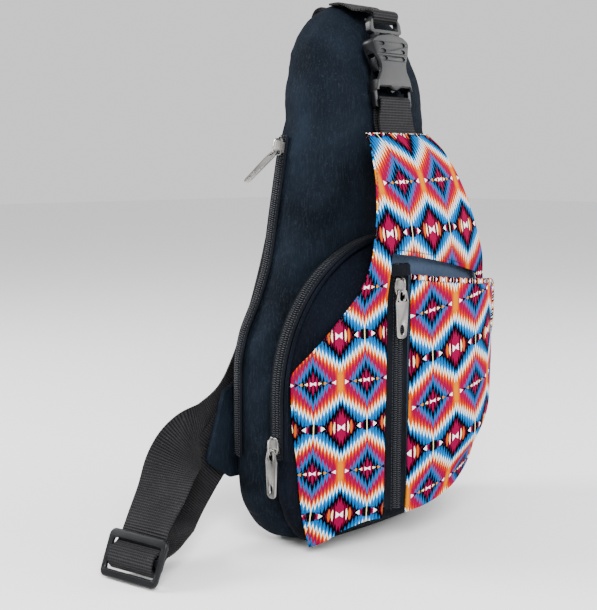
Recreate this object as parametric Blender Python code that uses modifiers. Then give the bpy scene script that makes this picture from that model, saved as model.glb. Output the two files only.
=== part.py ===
# Sling backpack with a printed front, standing on its base.
# Sizes are in millimetres and are turned into metres where a mesh is made.
# X is the wearer's width, Y runs from the printed front (-) to the back (+), Z is up.
# The origin is on the flat of the base, under the main compartment.
import math

import bmesh
import bpy
from mathutils import Matrix, Vector

MM = 0.001
GAP = 0.4                 # space left between touching pieces
SHEET_GAP = 0.5           # space behind a fabric panel

# Main compartment
HEIGHT = 388.0
HALF_WIDTH = 105.0
BACK = 46.0               # flat of the back
SEAM = -6.0               # where the main compartment meets the middle one
CORNER = 47.0             # radius of the two lower corners
BASE_BACK = 33.0          # rear edge of the standing flat
SECTION_POWER = 3.2       # squareness of a level section

# Middle compartment
ARCH_FOOT = 115.0         # height where its sides start to arch over
ARCH_TOP = 221.0
RIM_DEPTH = 21.5          # how far its front seam stands from Y 0
ARCH_CROWN = 36.0         # how far its front swells past the seam

# Printed front
PRINT_THICK = 1.6
FRONT_DEPTH = 55.0        # deepest line of the front panels
PEAK_X = 20.0
FRONT_LOW = 24.0          # height of the front's lower edge at the zip
MOUTH_LEFT = 212.0        # pocket mouth, height at its left end
MOUTH_RIGHT = 189.0
MOUTH_GAP = 12.0          # height of the open mouth at its left end
YOKE_TOP = 294.0
POCKET_SWELL = 17.0       # how far the right pocket stands out
LINING_THICK = 1.2

# Zips
TAPE_THICK = 0.8
COIL_WIDTH = 6.4
COIL_HEIGHT = 1.9         # coil's crest over the tape's back
FRONT_ZIP_X = -25.0
FRONT_ZIP_WIDTH = 18.0
FRONT_ZIP_LOW = 30.0
FRONT_ZIP_TOP = 205.0
SIDE_ZIP_WIDTH = 13.0
ARCH_ZIP_DEPTH = 14.0
PIPING_RADIUS = 1.3
ARCH_ZIP_LOW = 74.0
MAIN_ZIP_Y = 27.0
MAIN_ZIP_LOW = 68.0
MAIN_ZIP_TOP = 292.0
FRONT_SLIDER_Z = 189.0
ARCH_SLIDER_Z = 83.0
MAIN_SLIDER_Z = 284.0

# Slider and puller
SLIDER_LENGTH = 12.0
SLIDER_WIDTH = 9.4
SLIDER_PLATE = 1.3
BAIL_HALF = 4.6           # half the length of the bail, inside
BAIL_ROD = 0.8
PULLER_LENGTH = 42.0
PULLER_WIDTH = 11.0
PULLER_THICK = 1.6
MAIN_PULLER_TILT = 38.0   # degrees that the side puller stands out

# Webbing and its hardware
WEBBING = 38.0
WEB_THICK = 1.5
BUCKLE_X = 1.0
BUCKLE_FOOT = (-18.5, 314.5)
BUCKLE_HEAD = (-8.8, 371.7)
BUCKLE_THICK = 10.4
BAR_THICK = 3.4
GLIDE_WIDTH = 50.0
GLIDE_HEIGHT = 32.0
GLIDE_THICK = 3.4
GLIDE_FOOT = (-202.3, 23.3, 1.6)
GLIDE_YAW = -74.0         # direction of the adjuster's width, degrees from +X
GLIDE_LEAN = 27.0

# Back of the bag
PAD_THICK = 5.5
PAD_LOW = 50.0
PAD_TOP = 322.0
WING_THICK = 4.0

BLACK = (0.012, 0.015, 0.021)
SLATE = (0.045, 0.055, 0.075)
PLASTIC = (0.018, 0.020, 0.024)
STEEL = (0.62, 0.61, 0.58)
PRINT = (0.62, 0.10, 0.16)

PARTS = None
CUTTERS = None


def clear_scene():
    for item in list(bpy.data.objects):
        bpy.data.objects.remove(item, do_unlink=True)


def make_collection(name):
    group = bpy.data.collections.new(name)
    bpy.context.scene.collection.children.link(group)
    return group


def material(name, colour, roughness, metallic=0.0):
    found = bpy.data.materials.get(name)
    if found:
        return found
    made = bpy.data.materials.new(name)
    made.use_nodes = True
    shader = made.node_tree.nodes["Principled BSDF"]
    shader.inputs["Base Color"].default_value = (*colour, 1.0)
    shader.inputs["Roughness"].default_value = roughness
    shader.inputs["Metallic"].default_value = metallic
    made.diffuse_color = (*colour, 1.0)
    return made


def canvas():
    return material("black_canvas", BLACK, 0.85)


def webbing_finish():
    return material("black_webbing", BLACK, 0.8)


def moulded():
    return material("black_acetal", PLASTIC, 0.4)


def plated():
    return material("nickel_plate", STEEL, 0.3, 1.0)


def printed():
    return material("printed_canvas", PRINT, 0.8)


def lining_finish():
    return material("slate_lining", SLATE, 0.8)


def add_part(name, mesh, finish, smooth=True):
    item = bpy.data.objects.new(name, mesh)
    PARTS.objects.link(item)
    mesh.materials.clear()
    mesh.materials.append(finish)
    if smooth:
        mesh.shade_smooth()
        mesh.set_sharp_from_angle(angle=math.radians(40))
    return item


def make_mesh(name, points, faces):
    mesh = bpy.data.meshes.new(name)
    mesh.from_pydata([Vector(p) * MM for p in points], [], faces)
    shape = bmesh.new()
    shape.from_mesh(mesh)
    bmesh.ops.remove_doubles(shape, verts=shape.verts, dist=0.00001)
    bmesh.ops.recalc_face_normals(shape, faces=shape.faces)
    shape.to_mesh(mesh)
    shape.free()
    return mesh


# Smooth curve through a station table, with no overshoot
def station(table, height, column):
    if height <= table[0][0]:
        return table[0][column]
    if height >= table[-1][0]:
        return table[-1][column]
    rows = len(table)
    steps = [table[i + 1][0] - table[i][0] for i in range(rows - 1)]
    slopes = [(table[i + 1][column] - table[i][column]) / steps[i] for i in range(rows - 1)]
    grades = [slopes[0]]
    for i in range(1, rows - 1):
        before, after = slopes[i - 1], slopes[i]
        grades.append(2 * before * after / (before + after) if before * after > 0 else 0.0)
    grades.append(slopes[-1])
    i = max(k for k in range(rows - 1) if table[k][0] <= height)
    t = (height - table[i][0]) / steps[i]
    low, high = table[i][column], table[i + 1][column]
    return ((1 + 2 * t) * (1 - t) ** 2 * low + t * (1 - t) ** 2 * steps[i] * grades[i]
            + t * t * (3 - 2 * t) * high + t * t * (t - 1) * steps[i] * grades[i + 1])


def ease(t):
    t = min(1.0, max(0.0, t))
    return t * t * (3 - 2 * t)


def between(low, high, t):
    return low + (high - low) * t


# Main compartment: (height, half width, back, front) of its level sections above the corners
BODY = (
    (CORNER, HALF_WIDTH, BACK, SEAM),
    (130.0, HALF_WIDTH - 0.5, BACK, SEAM),
    (152.0, HALF_WIDTH - 5.0, BACK, SEAM),
    (178.0, HALF_WIDTH - 18.0, BACK, SEAM),
    (205.0, HALF_WIDTH - 28.0, BACK, SEAM),
    (240.0, HALF_WIDTH - 34.5, BACK, SEAM - 1.0),
    (292.0, HALF_WIDTH - 44.2, BACK, SEAM - 3.0),
    (HEIGHT - 63.0, HALF_WIDTH - 50.5, BACK, SEAM - 1.0),
    (HEIGHT - 40.0, HALF_WIDTH - 59.0, BACK, SEAM + 4.0),
    (HEIGHT - 24.0, HALF_WIDTH - 66.0, BACK - 0.5, SEAM + 8.0),
    (HEIGHT - 12.0, HALF_WIDTH - 72.5, BACK - 2.0, SEAM + 15.0),
    (HEIGHT - 4.0, HALF_WIDTH - 81.0, BACK - 6.0, SEAM + 25.0),
    (HEIGHT, 12.0, BACK - 11.0, SEAM + 34.0),
)


def corner_inset(height):
    drop = max(0.0, 1.0 - height / CORNER)
    return 1.0 - math.sqrt(max(0.0, 1.0 - drop * drop))


def body_level(height):
    if height >= CORNER:
        return tuple(station(BODY, height, column) for column in (1, 2, 3))
    inset = corner_inset(height)
    return (HALF_WIDTH - CORNER * inset, BACK - (BACK - BASE_BACK) * inset, SEAM)


def body_point(height, angle):
    half, back, front = body_level(height)
    c, s = math.cos(angle), math.sin(angle)
    x = half * math.copysign(abs(c) ** (2 / SECTION_POWER), c)
    y = (back + front) / 2 + (back - front) / 2 * math.copysign(abs(s) ** (2 / SECTION_POWER), s)
    return (x, y, height)


# Half width of the main compartment where its side passes a given Y
def body_side(height, y):
    half, back, front = body_level(height)
    share = min(1.0, abs(y - (back + front) / 2) / ((back - front) / 2))
    return half * (1 - share ** SECTION_POWER) ** (1 / SECTION_POWER)


def loft(name, rings, finish):
    count = len(rings[0])
    points = [p for ring in rings for p in ring]
    faces = []
    for level in range(len(rings) - 1):
        for i in range(count):
            j = (i + 1) % count
            faces.append((level * count + i, level * count + j,
                          (level + 1) * count + j, (level + 1) * count + i))
    faces.append(tuple(range(count)))
    faces.append(tuple(range((len(rings) - 1) * count, len(rings) * count)))
    return add_part(name, make_mesh(name, points, faces), finish)


def main_compartment():
    low = [0.0, 1.5, 5.0, 11.0, 20.0, 32.0]
    mid = [CORNER + 25.0 * k for k in range(12)]
    top = [HEIGHT - drop for drop in (50.0, 38.0, 27.0, 18.0, 10.0, 4.0, 0.0)]
    sides = 40
    rings = []
    for height in low + mid + top:
        rings.append([body_point(height, 2 * math.pi * (k + 0.5) / sides) for k in range(sides)])
    loft("main_compartment", rings, canvas())


# Lower edge of the printed front, seen from the front
WIDE = HALF_WIDTH / 105.0   # breadth of the outline tables, against the breadth they are written for


# Makes one column of an outline table as wide as the bag is
def widened(table, column):
    return tuple(row[:column] + (row[column] * WIDE,) + row[column + 1:] for row in table)


LOWER_EDGE = widened((
    (-84.0, 5.0), (-74.0, 9.0), (-60.0, 18.0), (-44.0, 23.0), (-25.0, FRONT_LOW), (0.0, 27.0),
    (30.0, 35.0), (45.0, 43.0), (60.0, 53.0), (75.0, 66.0), (90.0, 84.0), (101.0, 104.0),
), 0)


def lower_edge(x):
    return station(LOWER_EDGE, x, 1)


# Left edge of the print: (height, x, depth)
LEFT_EDGE = widened((
    (5.0, -81.0, 20.0), (38.0, -90.0, 22.0), (72.0, -95.0, 23.0), (103.0, -99.5, 23.5),
    (130.0, -101.0, 24.0), (146.0, -89.0, 29.0), (160.0, -76.0, 35.0), (184.0, -57.0, 46.5),
    (207.0, -51.0, 50.5), (233.0, -47.0, 50.5), (256.0, -44.0, 48.0), (282.0, -38.0, 37.0),
    (YOKE_TOP, -33.0, 26.5),
), 1)

# Right edge of the yoke: (height, x, depth)
RIGHT_EDGE = widened((
    (MOUTH_RIGHT, 74.0, 48.0), (210.0, 66.0, 52.0), (233.0, 55.0, 51.5), (256.0, 46.0, 48.0),
    (282.0, 37.0, 37.0), (YOKE_TOP, 31.0, 27.0),
), 1)

# Depth of the yoke's middle by height
YOKE_CROWN = ((180.0, FRONT_DEPTH), (215.0, FRONT_DEPTH + 2.5), (240.0, FRONT_DEPTH), (262.0, 50.0),
              (282.0, 41.0), (YOKE_TOP, 30.5))


# Depth of the front panels below the mouth: a crown from the left seam to the right one
def panel_depth(x, height):
    low = min(height, 130.0)
    left, rim = station(LEFT_EDGE, low, 1), station(LEFT_EDGE, low, 2)
    if x < PEAK_X:
        share = (PEAK_X - x) / (PEAK_X - left)
    else:
        rim = LEFT_EDGE[4][2]
        share = (x - PEAK_X) / (HALF_WIDTH - 2.0 - PEAK_X)
    return rim + (FRONT_DEPTH - rim) * (1 - min(1.0, share) ** 2.2)


def yoke_depth(x, height):
    left_x, left = station(LEFT_EDGE, height, 1), station(LEFT_EDGE, height, 2)
    right_x, right = station(RIGHT_EDGE, height, 1), station(RIGHT_EDGE, height, 2)
    share = min(1.0, max(0.0, (x - left_x) / (right_x - left_x)))
    chord = between(left, right, share)
    swell = station(YOKE_CROWN, height, 1) - (left + right) / 2
    return chord + swell * (1 - abs(2 * share - 1) ** 2.2)


def mouth_line(x):
    share = min(1.0, max(0.0, (x + 34.0) / 108.0))
    return between(MOUTH_LEFT, MOUTH_RIGHT, share ** 1.3)


# Half width of the middle compartment's lower corners by height; the right one sits higher
LEFT_FOOT = ((1.0, 60.0 * WIDE), (5.0, 75.0 * WIDE), (15.0, 87.5 * WIDE), (30.0, 96.5 * WIDE),
             (45.0, HALF_WIDTH - 4.0), (60.0, HALF_WIDTH - 2.0), (80.0, HALF_WIDTH - 1.0))
RIGHT_FOOT = ((1.0, 44.0 * WIDE), (10.0, 52.0 * WIDE), (22.0, 63.0 * WIDE), (34.0, 77.0 * WIDE),
              (47.0, 91.0 * WIDE), (60.0, HALF_WIDTH - 5.5), (80.0, HALF_WIDTH - 1.0))


def arch_outline(count):
    points = []
    start = 1.0
    for k in range(count):
        height = between(start, ARCH_FOOT, (k / (count - 1)) ** 1.6)
        points.append((-station(LEFT_FOOT, height, 1), height))
    for k in range(1, 2 * count):
        angle = math.pi - math.pi * k / (2 * count)
        points.append(((HALF_WIDTH - 1.0) * math.cos(angle),
                       ARCH_FOOT + (ARCH_TOP - ARCH_FOOT) * math.sin(angle)))
    for k in range(count):
        height = between(start, ARCH_FOOT, (1 - k / (count - 1)) ** 1.6)
        points.append((station(RIGHT_FOOT, height, 1), height))
    for k in range(1, 8):
        points.append((between(RIGHT_FOOT[0][1], -LEFT_FOOT[0][1], k / 8), start))
    return points


def rim_depth(height):
    under_print = station(LEFT_EDGE, min(height, 130.0), 2) - PRINT_THICK - 2 * SHEET_GAP
    return between(9.0, min(RIM_DEPTH, under_print), ease(height / 14.0))


# Depth of the middle compartment's front; scale runs from 1 at its rim to 0 at its middle
def middle_depth(x, height, scale):
    fall = 1 - ease((height - 150.0) / (ARCH_TOP - 150.0)) * 0.45
    free = rim_depth(height) + ARCH_CROWN * (1 - scale ** 3.4) * fall
    edge = lower_edge(x)
    behind = PRINT_THICK + LINING_THICK + 3 * SHEET_GAP
    if height < edge:
        top = panel_depth(x, edge) - behind
        return between(rim_depth(0.0), max(top, rim_depth(edge)), max(0.0, height / edge))
    return max(rim_depth(height), min(free, panel_depth(x, height) - behind))


def middle_compartment():
    outline = arch_outline(12)
    centre = (8.0, 112.0)
    back = SEAM - GAP - 0.2
    scales = [1.0, 0.985, 0.965, 0.94, 0.90, 0.84, 0.76, 0.64, 0.48, 0.30, 0.12]
    rings = [[(x, back, z) for x, z in outline]]
    for scale in scales:
        ring = []
        for x, z in outline:
            px = between(centre[0], x, scale)
            pz = between(centre[1], z, scale)
            depth = rim_depth(pz) if scale == 1.0 else middle_depth(px, pz, scale)
            ring.append((px, -max(depth, -back + 1.5), pz))
        rings.append(ring)
    loft("middle_compartment", rings, canvas())


# An open surface of quads given by rows of points, thickened inwards
def sheet(name, rows, thickness, finish, skip=None, offset=-1.0):
    points = [p for row in rows for p in row]
    width = len(rows[0])
    faces = []
    for j in range(len(rows) - 1):
        for i in range(width - 1):
            if skip and skip(i, j):
                continue
            a = j * width + i
            faces.append((a, a + 1, a + width + 1, a + width))
    mesh = bpy.data.meshes.new(name)
    mesh.from_pydata([Vector(p) * MM for p in points], [], faces)
    shape = bmesh.new()
    shape.from_mesh(mesh)
    loose = [v for v in shape.verts if not v.link_faces]
    bmesh.ops.delete(shape, geom=loose, context="VERTS")
    shape.to_mesh(mesh)
    shape.free()
    item = add_part(name, mesh, finish)
    solid = item.modifiers.new("thickness", "SOLIDIFY")
    solid.thickness = thickness * MM
    solid.offset = offset
    solid.use_even_offset = False
    return item


def print_front():
    columns_left = 6
    columns_right = 9
    rows_low = 15
    rows_high = 9
    tape_edge = FRONT_ZIP_X - FRONT_ZIP_WIDTH / 2 - 2 * GAP
    rows = []
    for j in range(rows_low + 1):
        t = j / rows_low
        guess = between(5.0, MOUTH_LEFT, t)
        left_x = station(LEFT_EDGE, guess, 1)
        row = []
        for i in range(columns_left + columns_right + 1):
            if i <= columns_left:
                x = between(left_x, tape_edge, i / columns_left)
            else:
                x = between(tape_edge, 66.0, (i - columns_left) / columns_right)
            z = between(lower_edge(x), mouth_line(x), t)
            row.append((x, -panel_depth(x, z), z))
        rows.append(row)
    mouth_left_x = station(LEFT_EDGE, MOUTH_LEFT, 1)
    mouth_right_x = station(RIGHT_EDGE, MOUTH_RIGHT, 1)
    share = (tape_edge - mouth_left_x) / (mouth_right_x - mouth_left_x)
    blended = []
    for j in range(rows_high + 1):
        t = j / rows_high
        row = []
        for i in range(columns_left + columns_right + 1):
            if i <= columns_left:
                u = share * i / columns_left
            else:
                u = between(share, 1.0, (i - columns_left) / columns_right)
            z_left = between(MOUTH_LEFT, YOKE_TOP, t)
            z_right = between(MOUTH_RIGHT, YOKE_TOP, t)
            x = between(station(LEFT_EDGE, z_left, 1), station(RIGHT_EDGE, z_right, 1), u)
            z = between(mouth_line(x), YOKE_TOP, t)
            row.append((x, -yoke_depth(x, z), z))
        blended.append(row)
    for i in range(columns_left + columns_right + 1):
        for back_rows, weight in ((1, 0.62), (2, 0.28)):
            low = rows[-1 - back_rows][i]
            lift = blended[0][i][1] - rows[-1][i][1]
            rows[-1 - back_rows][i] = (low[0], low[1] + lift * weight, low[2])
    rows[-1] = blended[0]
    rows += blended[1:]
    sheet("print_front", rows, PRINT_THICK, printed(),
          skip=lambda i, j: j < rows_low and i >= columns_left)


# Upper limit of the lining and the pocket at each x: the arch of the compartment
def arch_ceiling(x):
    share = min(0.995, abs(x) / (HALF_WIDTH - 2.0))
    return ARCH_FOOT + (ARCH_TOP - ARCH_FOOT) * math.sqrt(1 - share * share)


def lining_depth(x, height):
    return panel_depth(x, height) - PRINT_THICK - SHEET_GAP


def pocket_lining():
    rows = []
    left = FRONT_ZIP_X - FRONT_ZIP_WIDTH / 2 + 1.0
    for j in range(15):
        row = []
        for i in range(15):
            x = between(left, 99.0, (i / 14) ** 0.85)
            top = min(mouth_line(x) + 6.0, arch_ceiling(x) - 4.0)
            z = between(lower_edge(x) + 1.0, top, j / 14)
            row.append((x, -lining_depth(x, z), z))
        rows.append(row)
    sheet("pocket_lining", rows, LINING_THICK, lining_finish())


def pocket_top(x):
    share = min(1.0, max(0.0, (x + 15.0) / 86.0))
    return min(mouth_line(x) - MOUTH_GAP * (1 - share ** 1.6) - 0.8, arch_ceiling(x) - 6.0)


# Outer depth of the right pocket: flat along the zip and the seams, swollen towards its mouth
def pocket_depth(x, t):
    height = between(lower_edge(x), pocket_top(x), t)
    across = (x + 15.0) / 116.0
    side = math.sin(math.pi * min(1.0, across ** 0.78)) ** 0.55 if 0 < across < 1 else 0.0
    rise = ease(t / 0.28)
    shape = between(0.35 * side, side, ease(across * 1.6))
    return panel_depth(x, height) + POCKET_SWELL * shape * rise + PRINT_THICK * 0.6


def print_pocket():
    rows = []
    left = FRONT_ZIP_X + FRONT_ZIP_WIDTH / 2 + GAP
    count = 16
    for j in range(14):
        t = (j / 13) ** 1.2
        row = []
        for i in range(count + 1):
            x = between(left, 101.0, i / count)
            z = between(lower_edge(x), pocket_top(x), t)
            row.append((x, -pocket_depth(x, t), z))
        rows.append(row)
    sheet("print_pocket", rows, PRINT_THICK, printed())


# A closed bar of constant cross-section laid along a path, with an outward normal at each point
def swept(name, path, normals, section, finish):
    rings = []
    for k, place in enumerate(path):
        here = Vector(place)
        ahead = Vector(path[min(k + 1, len(path) - 1)])
        behind = Vector(path[max(k - 1, 0)])
        along = (ahead - behind).normalized()
        out = Vector(normals[k])
        out = (out - along * out.dot(along)).normalized()
        side = out.cross(along)
        rings.append([tuple(here + side * w + out * n) for w, n in section])
    return loft(name, rings, finish)


def chain_section(width):
    half = width / 2
    coil = COIL_WIDTH / 2
    return [(-half, 0.0), (half, 0.0), (half, TAPE_THICK), (coil + 0.4, TAPE_THICK),
            (coil - 0.3, COIL_HEIGHT - 0.4), (coil - 1.1, COIL_HEIGHT), (-coil + 1.1, COIL_HEIGHT),
            (-coil + 0.3, COIL_HEIGHT - 0.4), (-coil - 0.4, TAPE_THICK), (-half, TAPE_THICK)]


def front_zip_normal():
    slope = (lining_depth(FRONT_ZIP_X + 9.0, 100.0) - lining_depth(FRONT_ZIP_X - 9.0, 100.0)) / 18.0
    return (-slope, -1.0, 0.0)


def front_chain_back():
    return lining_depth(FRONT_ZIP_X, 100.0) + 0.9


def front_zip():
    depth = front_chain_back()
    path = [(FRONT_ZIP_X, -depth, between(FRONT_ZIP_LOW, FRONT_ZIP_TOP, k / 8)) for k in range(9)]
    swept("front_zip_chain", path, [front_zip_normal()] * len(path), chain_section(FRONT_ZIP_WIDTH),
          canvas())


def zip_top_tab():
    out = Vector(front_zip_normal()).normalized()
    side = Vector((-out.y, out.x, 0))
    base = Vector((FRONT_ZIP_X, -front_chain_back(), FRONT_ZIP_TOP - 4.5)) + out * (COIL_HEIGHT + GAP + 0.7)
    mesh = flat_piece("zip_top_tab", [rounded([(-8.6, -4.0, 1.0), (8.6, -4.0, 1.0), (8.0, 4.0, 1.2),
                                               (-8.0, 4.0, 1.2)], 3)], 1.4, 0.3)
    item = add_part("zip_top_tab", mesh, canvas())
    item.matrix_world = frame_at(base, side, (0, 0, 1))


def arch_path_point(share):
    half = HALF_WIDTH - 1.0
    straight = ARCH_FOOT - ARCH_ZIP_LOW
    rise = ARCH_TOP - ARCH_FOOT
    length = straight * 2 + math.pi * (half + rise) / 2
    run = share * length
    if run < straight:
        return (-half, ARCH_ZIP_LOW + run), (-1, 0)
    if run > length - straight:
        return (half, ARCH_ZIP_LOW + length - run), (1, 0)
    angle = math.pi * (1 - (run - straight) / (length - 2 * straight))
    x, z = half * math.cos(angle), rise * math.sin(angle)
    out = Vector((x / half ** 2, z / rise ** 2)).normalized()
    return (x, ARCH_FOOT + z), tuple(out)


def arch_zip():
    path, normals = [], []
    for k in range(43):
        (x, z), (nx, nz) = arch_path_point(k / 42)
        path.append((x + nx * GAP, -ARCH_ZIP_DEPTH, z + nz * GAP))
        normals.append((nx, 0, nz))
    swept("arch_zip_chain", path, normals, chain_section(SIDE_ZIP_WIDTH), canvas())


def arch_piping():
    points = []
    for k in range(49):
        (x, z), (nx, nz) = arch_path_point(k / 48)
        points.append((x + nx * 0.2, -(RIM_DEPTH + PIPING_RADIUS + GAP), z + nz * 0.2))
    tube("arch_piping", points, PIPING_RADIUS, canvas(), 1)


def tube(name, points, radius, finish, resolution=2):
    curve = bpy.data.curves.new(name, "CURVE")
    curve.dimensions = "3D"
    curve.bevel_depth = radius * MM
    curve.bevel_resolution = resolution
    curve.use_fill_caps = True
    line = curve.splines.new("POLY")
    line.points.add(len(points) - 1)
    for k, place in enumerate(points):
        line.points[k].co = (*(Vector(place) * MM), 1.0)
    curve.materials.append(finish)
    item = bpy.data.objects.new(name, curve)
    PARTS.objects.link(item)
    return item


def main_zip_frame(height):
    step = 4.0
    x = -body_side(height, MAIN_ZIP_Y)
    slope_y = (body_side(height, MAIN_ZIP_Y + step) - body_side(height, MAIN_ZIP_Y - step)) / (2 * step)
    slope_z = (body_side(height + step, MAIN_ZIP_Y) - body_side(height - step, MAIN_ZIP_Y)) / (2 * step)
    out = Vector((-1.0, -slope_y, -slope_z)).normalized()
    return Vector((x, MAIN_ZIP_Y, height)), out


def main_zip():
    path, normals = [], []
    for k in range(41):
        place, out = main_zip_frame(between(MAIN_ZIP_LOW, MAIN_ZIP_TOP, k / 40))
        path.append(tuple(place + out * 1.0))
        normals.append(tuple(out))
    swept("main_zip_chain", path, normals, chain_section(SIDE_ZIP_WIDTH), canvas())


# A flat piece drawn as closed outlines in its own XY, thickened along its own Z
def flat_piece(name, outlines, thickness, edge, group=None, finish=None):
    curve = bpy.data.curves.new(name, "CURVE")
    curve.dimensions = "2D"
    curve.fill_mode = "BOTH"
    curve.extrude = (thickness / 2 - edge) * MM
    curve.bevel_depth = edge * MM
    curve.bevel_resolution = 0
    curve.offset = -edge * MM
    for outline in outlines:
        line = curve.splines.new("POLY")
        line.points.add(len(outline) - 1)
        for k, place in enumerate(outline):
            line.points[k].co = (place[0] * MM, place[1] * MM, 0.0, 1.0)
        line.use_cyclic_u = True
    item = bpy.data.objects.new(name + "_outline", curve)
    bpy.context.scene.collection.objects.link(item)
    mesh = as_mesh(item, name)
    bpy.data.objects.remove(item, do_unlink=True)
    if finish is None:
        return mesh
    return add_part(name, mesh, finish)


def as_mesh(item, name):
    bpy.context.view_layer.update()
    seen = item.evaluated_get(bpy.context.evaluated_depsgraph_get())
    mesh = bpy.data.meshes.new_from_object(seen)
    mesh.name = name
    shape = bmesh.new()
    shape.from_mesh(mesh)
    bmesh.ops.remove_doubles(shape, verts=shape.verts, dist=0.000005)
    bmesh.ops.recalc_face_normals(shape, faces=shape.faces)
    shape.to_mesh(mesh)
    shape.free()
    return mesh


# Closed outline with an arc at each corner; a corner is (x, y, radius)
def rounded(corners, steps=4):
    points = []
    count = len(corners)
    for k in range(count):
        before = Vector(corners[k - 1][:2])
        here = Vector(corners[k][:2])
        after = Vector(corners[(k + 1) % count][:2])
        radius = corners[k][2]
        if radius <= 0:
            points.append(tuple(here))
            continue
        a, b = (before - here).normalized(), (after - here).normalized()
        turn = math.pi - a.angle(b)
        reach = radius * math.tan(turn / 2)
        start, end = here + a * reach, here + b * reach
        middle = here + (a + b).normalized() * (radius / math.cos(turn / 2))
        first, last = start - middle, end - middle
        sweep = first.angle_signed(last)
        for j in range(steps + 1):
            spin = Matrix.Rotation(-sweep * j / steps, 2)
            points.append(tuple(middle + spin @ first))
    return points


def oval(x, y, half_x, half_y, count=12):
    return [(x + half_x * math.cos(2 * math.pi * k / count),
             y + half_y * math.sin(2 * math.pi * k / count)) for k in range(count)]


def cutter(name, mesh):
    item = bpy.data.objects.new(name, mesh)
    CUTTERS.objects.link(item)
    item.hide_render = True
    item.display_type = "WIRE"
    return item


def box_mesh(name, low, high):
    shape = bmesh.new()
    bmesh.ops.create_cube(shape, size=1.0)
    for vert in shape.verts:
        for axis in range(3):
            vert.co[axis] = between(low[axis], high[axis], vert.co[axis] + 0.5) * MM
    mesh = bpy.data.meshes.new(name)
    shape.to_mesh(mesh)
    shape.free()
    return mesh


def combine(item, other, operation):
    change = item.modifiers.new(operation.lower(), "BOOLEAN")
    change.operation = operation
    change.object = other
    change.solver = "EXACT"


# Frame matrix from an origin and two directions: own X, own Y, and Z as their product
def frame_at(origin, x_way, y_way):
    x = Vector(x_way).normalized()
    y = Vector(y_way)
    y = (y - x * y.dot(x)).normalized()
    z = x.cross(y)
    matrix = Matrix((x, y, z)).transposed().to_4x4()
    matrix.translation = Vector(origin) * MM
    return matrix


# Slider in its own frame: X across the tape, Y up the tape, Z away from it
def slider_mesh():
    top = COIL_HEIGHT + 0.4
    half, length = SLIDER_WIDTH / 2, SLIDER_LENGTH / 2
    plate = flat_piece("slider_plate", [rounded([
        (-half * 0.72, -length, 1.2), (half * 0.72, -length, 1.2), (half, length * 0.2, 1.4),
        (half * 0.8, length, 1.6), (-half * 0.8, length, 1.6), (-half, length * 0.2, 1.4)], 3)],
        SLIDER_PLATE, 0.3)
    plate.transform(Matrix.Translation((0, 0, (top + SLIDER_PLATE / 2) * MM)))
    body = cutter("slider_build", plate)
    for side in (-1, 1):
        wall = box_mesh("slider_wall", (side * (half - 0.5) - 0.45, -length * 0.7, TAPE_THICK + 0.35),
                        (side * (half - 0.5) + 0.45, length * 0.55, top + 0.6))
        combine(body, cutter("slider_wall", wall), "UNION")
    crest = top + SLIDER_PLATE
    reach = BAIL_HALF + BAIL_ROD
    lift = 3.5 + BAIL_ROD
    arch = []
    for k in range(9):
        turn = math.pi * k / 8
        arch.append((0.0, -math.copysign(abs(math.cos(turn)) ** 0.6, math.cos(turn)) * reach,
                     crest - 0.5 + (lift + 0.5) * math.sin(turn) ** 0.55))
    rod = tube("slider_bail", arch, BAIL_ROD, plated(), 1)
    bail = as_mesh(rod, "slider_bail")
    bpy.data.objects.remove(rod, do_unlink=True)
    combine(body, cutter("slider_bail", bail), "UNION")
    mesh = as_mesh(body, "zip_slider")
    return mesh


def bail_axis():
    return COIL_HEIGHT + 0.4 + SLIDER_PLATE + 1.6


# Puller in its own frame: its eye bar lies on X, its blade hangs to -Y
def puller_mesh():
    half = PULLER_WIDTH / 2
    tip = half * 0.74
    outline = rounded([(-half * 0.62, 1.1, 1.4), (half * 0.62, 1.1, 1.4), (half, -9.0, 6.0),
                       (tip, -PULLER_LENGTH, 3.6), (-tip, -PULLER_LENGTH, 3.6), (-half, -9.0, 6.0)], 4)
    eye = rounded([(-1.9, -0.9, 0.9), (1.9, -0.9, 0.9), (2.3, -8.4, 1.8), (-2.3, -8.4, 1.8)], 3)
    slot = oval(0.0, -PULLER_LENGTH + 8.0, 1.9, 4.6)
    return flat_piece("zip_puller", [outline, eye, slot], PULLER_THICK, 0.25)


def place_zip(name, slider, puller, origin, across, up, tilt):
    holder = frame_at(origin, across, up)
    body = add_part(name + "_slider", slider.copy(), plated())
    body.matrix_world = holder
    axis = bpy.data.objects.new(name + "_pull_axis", None)
    PARTS.objects.link(axis)
    lowest = -(BAIL_HALF - 1.6)
    axis.matrix_world = holder @ Matrix.Translation((0, lowest * MM, bail_axis() * MM))
    blade = add_part(name + "_puller", puller.copy(), plated())
    blade.parent = axis
    blade.matrix_local = Matrix.Rotation(math.radians(-tilt), 4, "X")


def zip_hardware():
    slider = slider_mesh()
    puller = puller_mesh()
    out = Vector(front_zip_normal())
    place_zip("front_zip", slider, puller, (FRONT_ZIP_X, -front_chain_back(), FRONT_SLIDER_Z),
              (-out.y, out.x, 0), (0, 0, 1), 0.0)
    place_zip("arch_zip", slider, puller,
              (-(HALF_WIDTH - 1.0) - GAP, -ARCH_ZIP_DEPTH, ARCH_SLIDER_Z), (0, -1, 0), (0, 0, 1), 0.0)
    place, out = main_zip_frame(MAIN_SLIDER_Z)
    ahead, _ = main_zip_frame(MAIN_SLIDER_Z + 4.0)
    up = (ahead - place).normalized()
    place_zip("main_zip", slider, puller, tuple(place + out * 1.0), tuple(up.cross(out)), tuple(up),
              MAIN_PULLER_TILT)


def buckle_frame():
    foot = Vector((BUCKLE_X, *BUCKLE_FOOT))
    head = Vector((BUCKLE_X, *BUCKLE_HEAD))
    return frame_at(foot, (1, 0, 0), head - foot)


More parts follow.
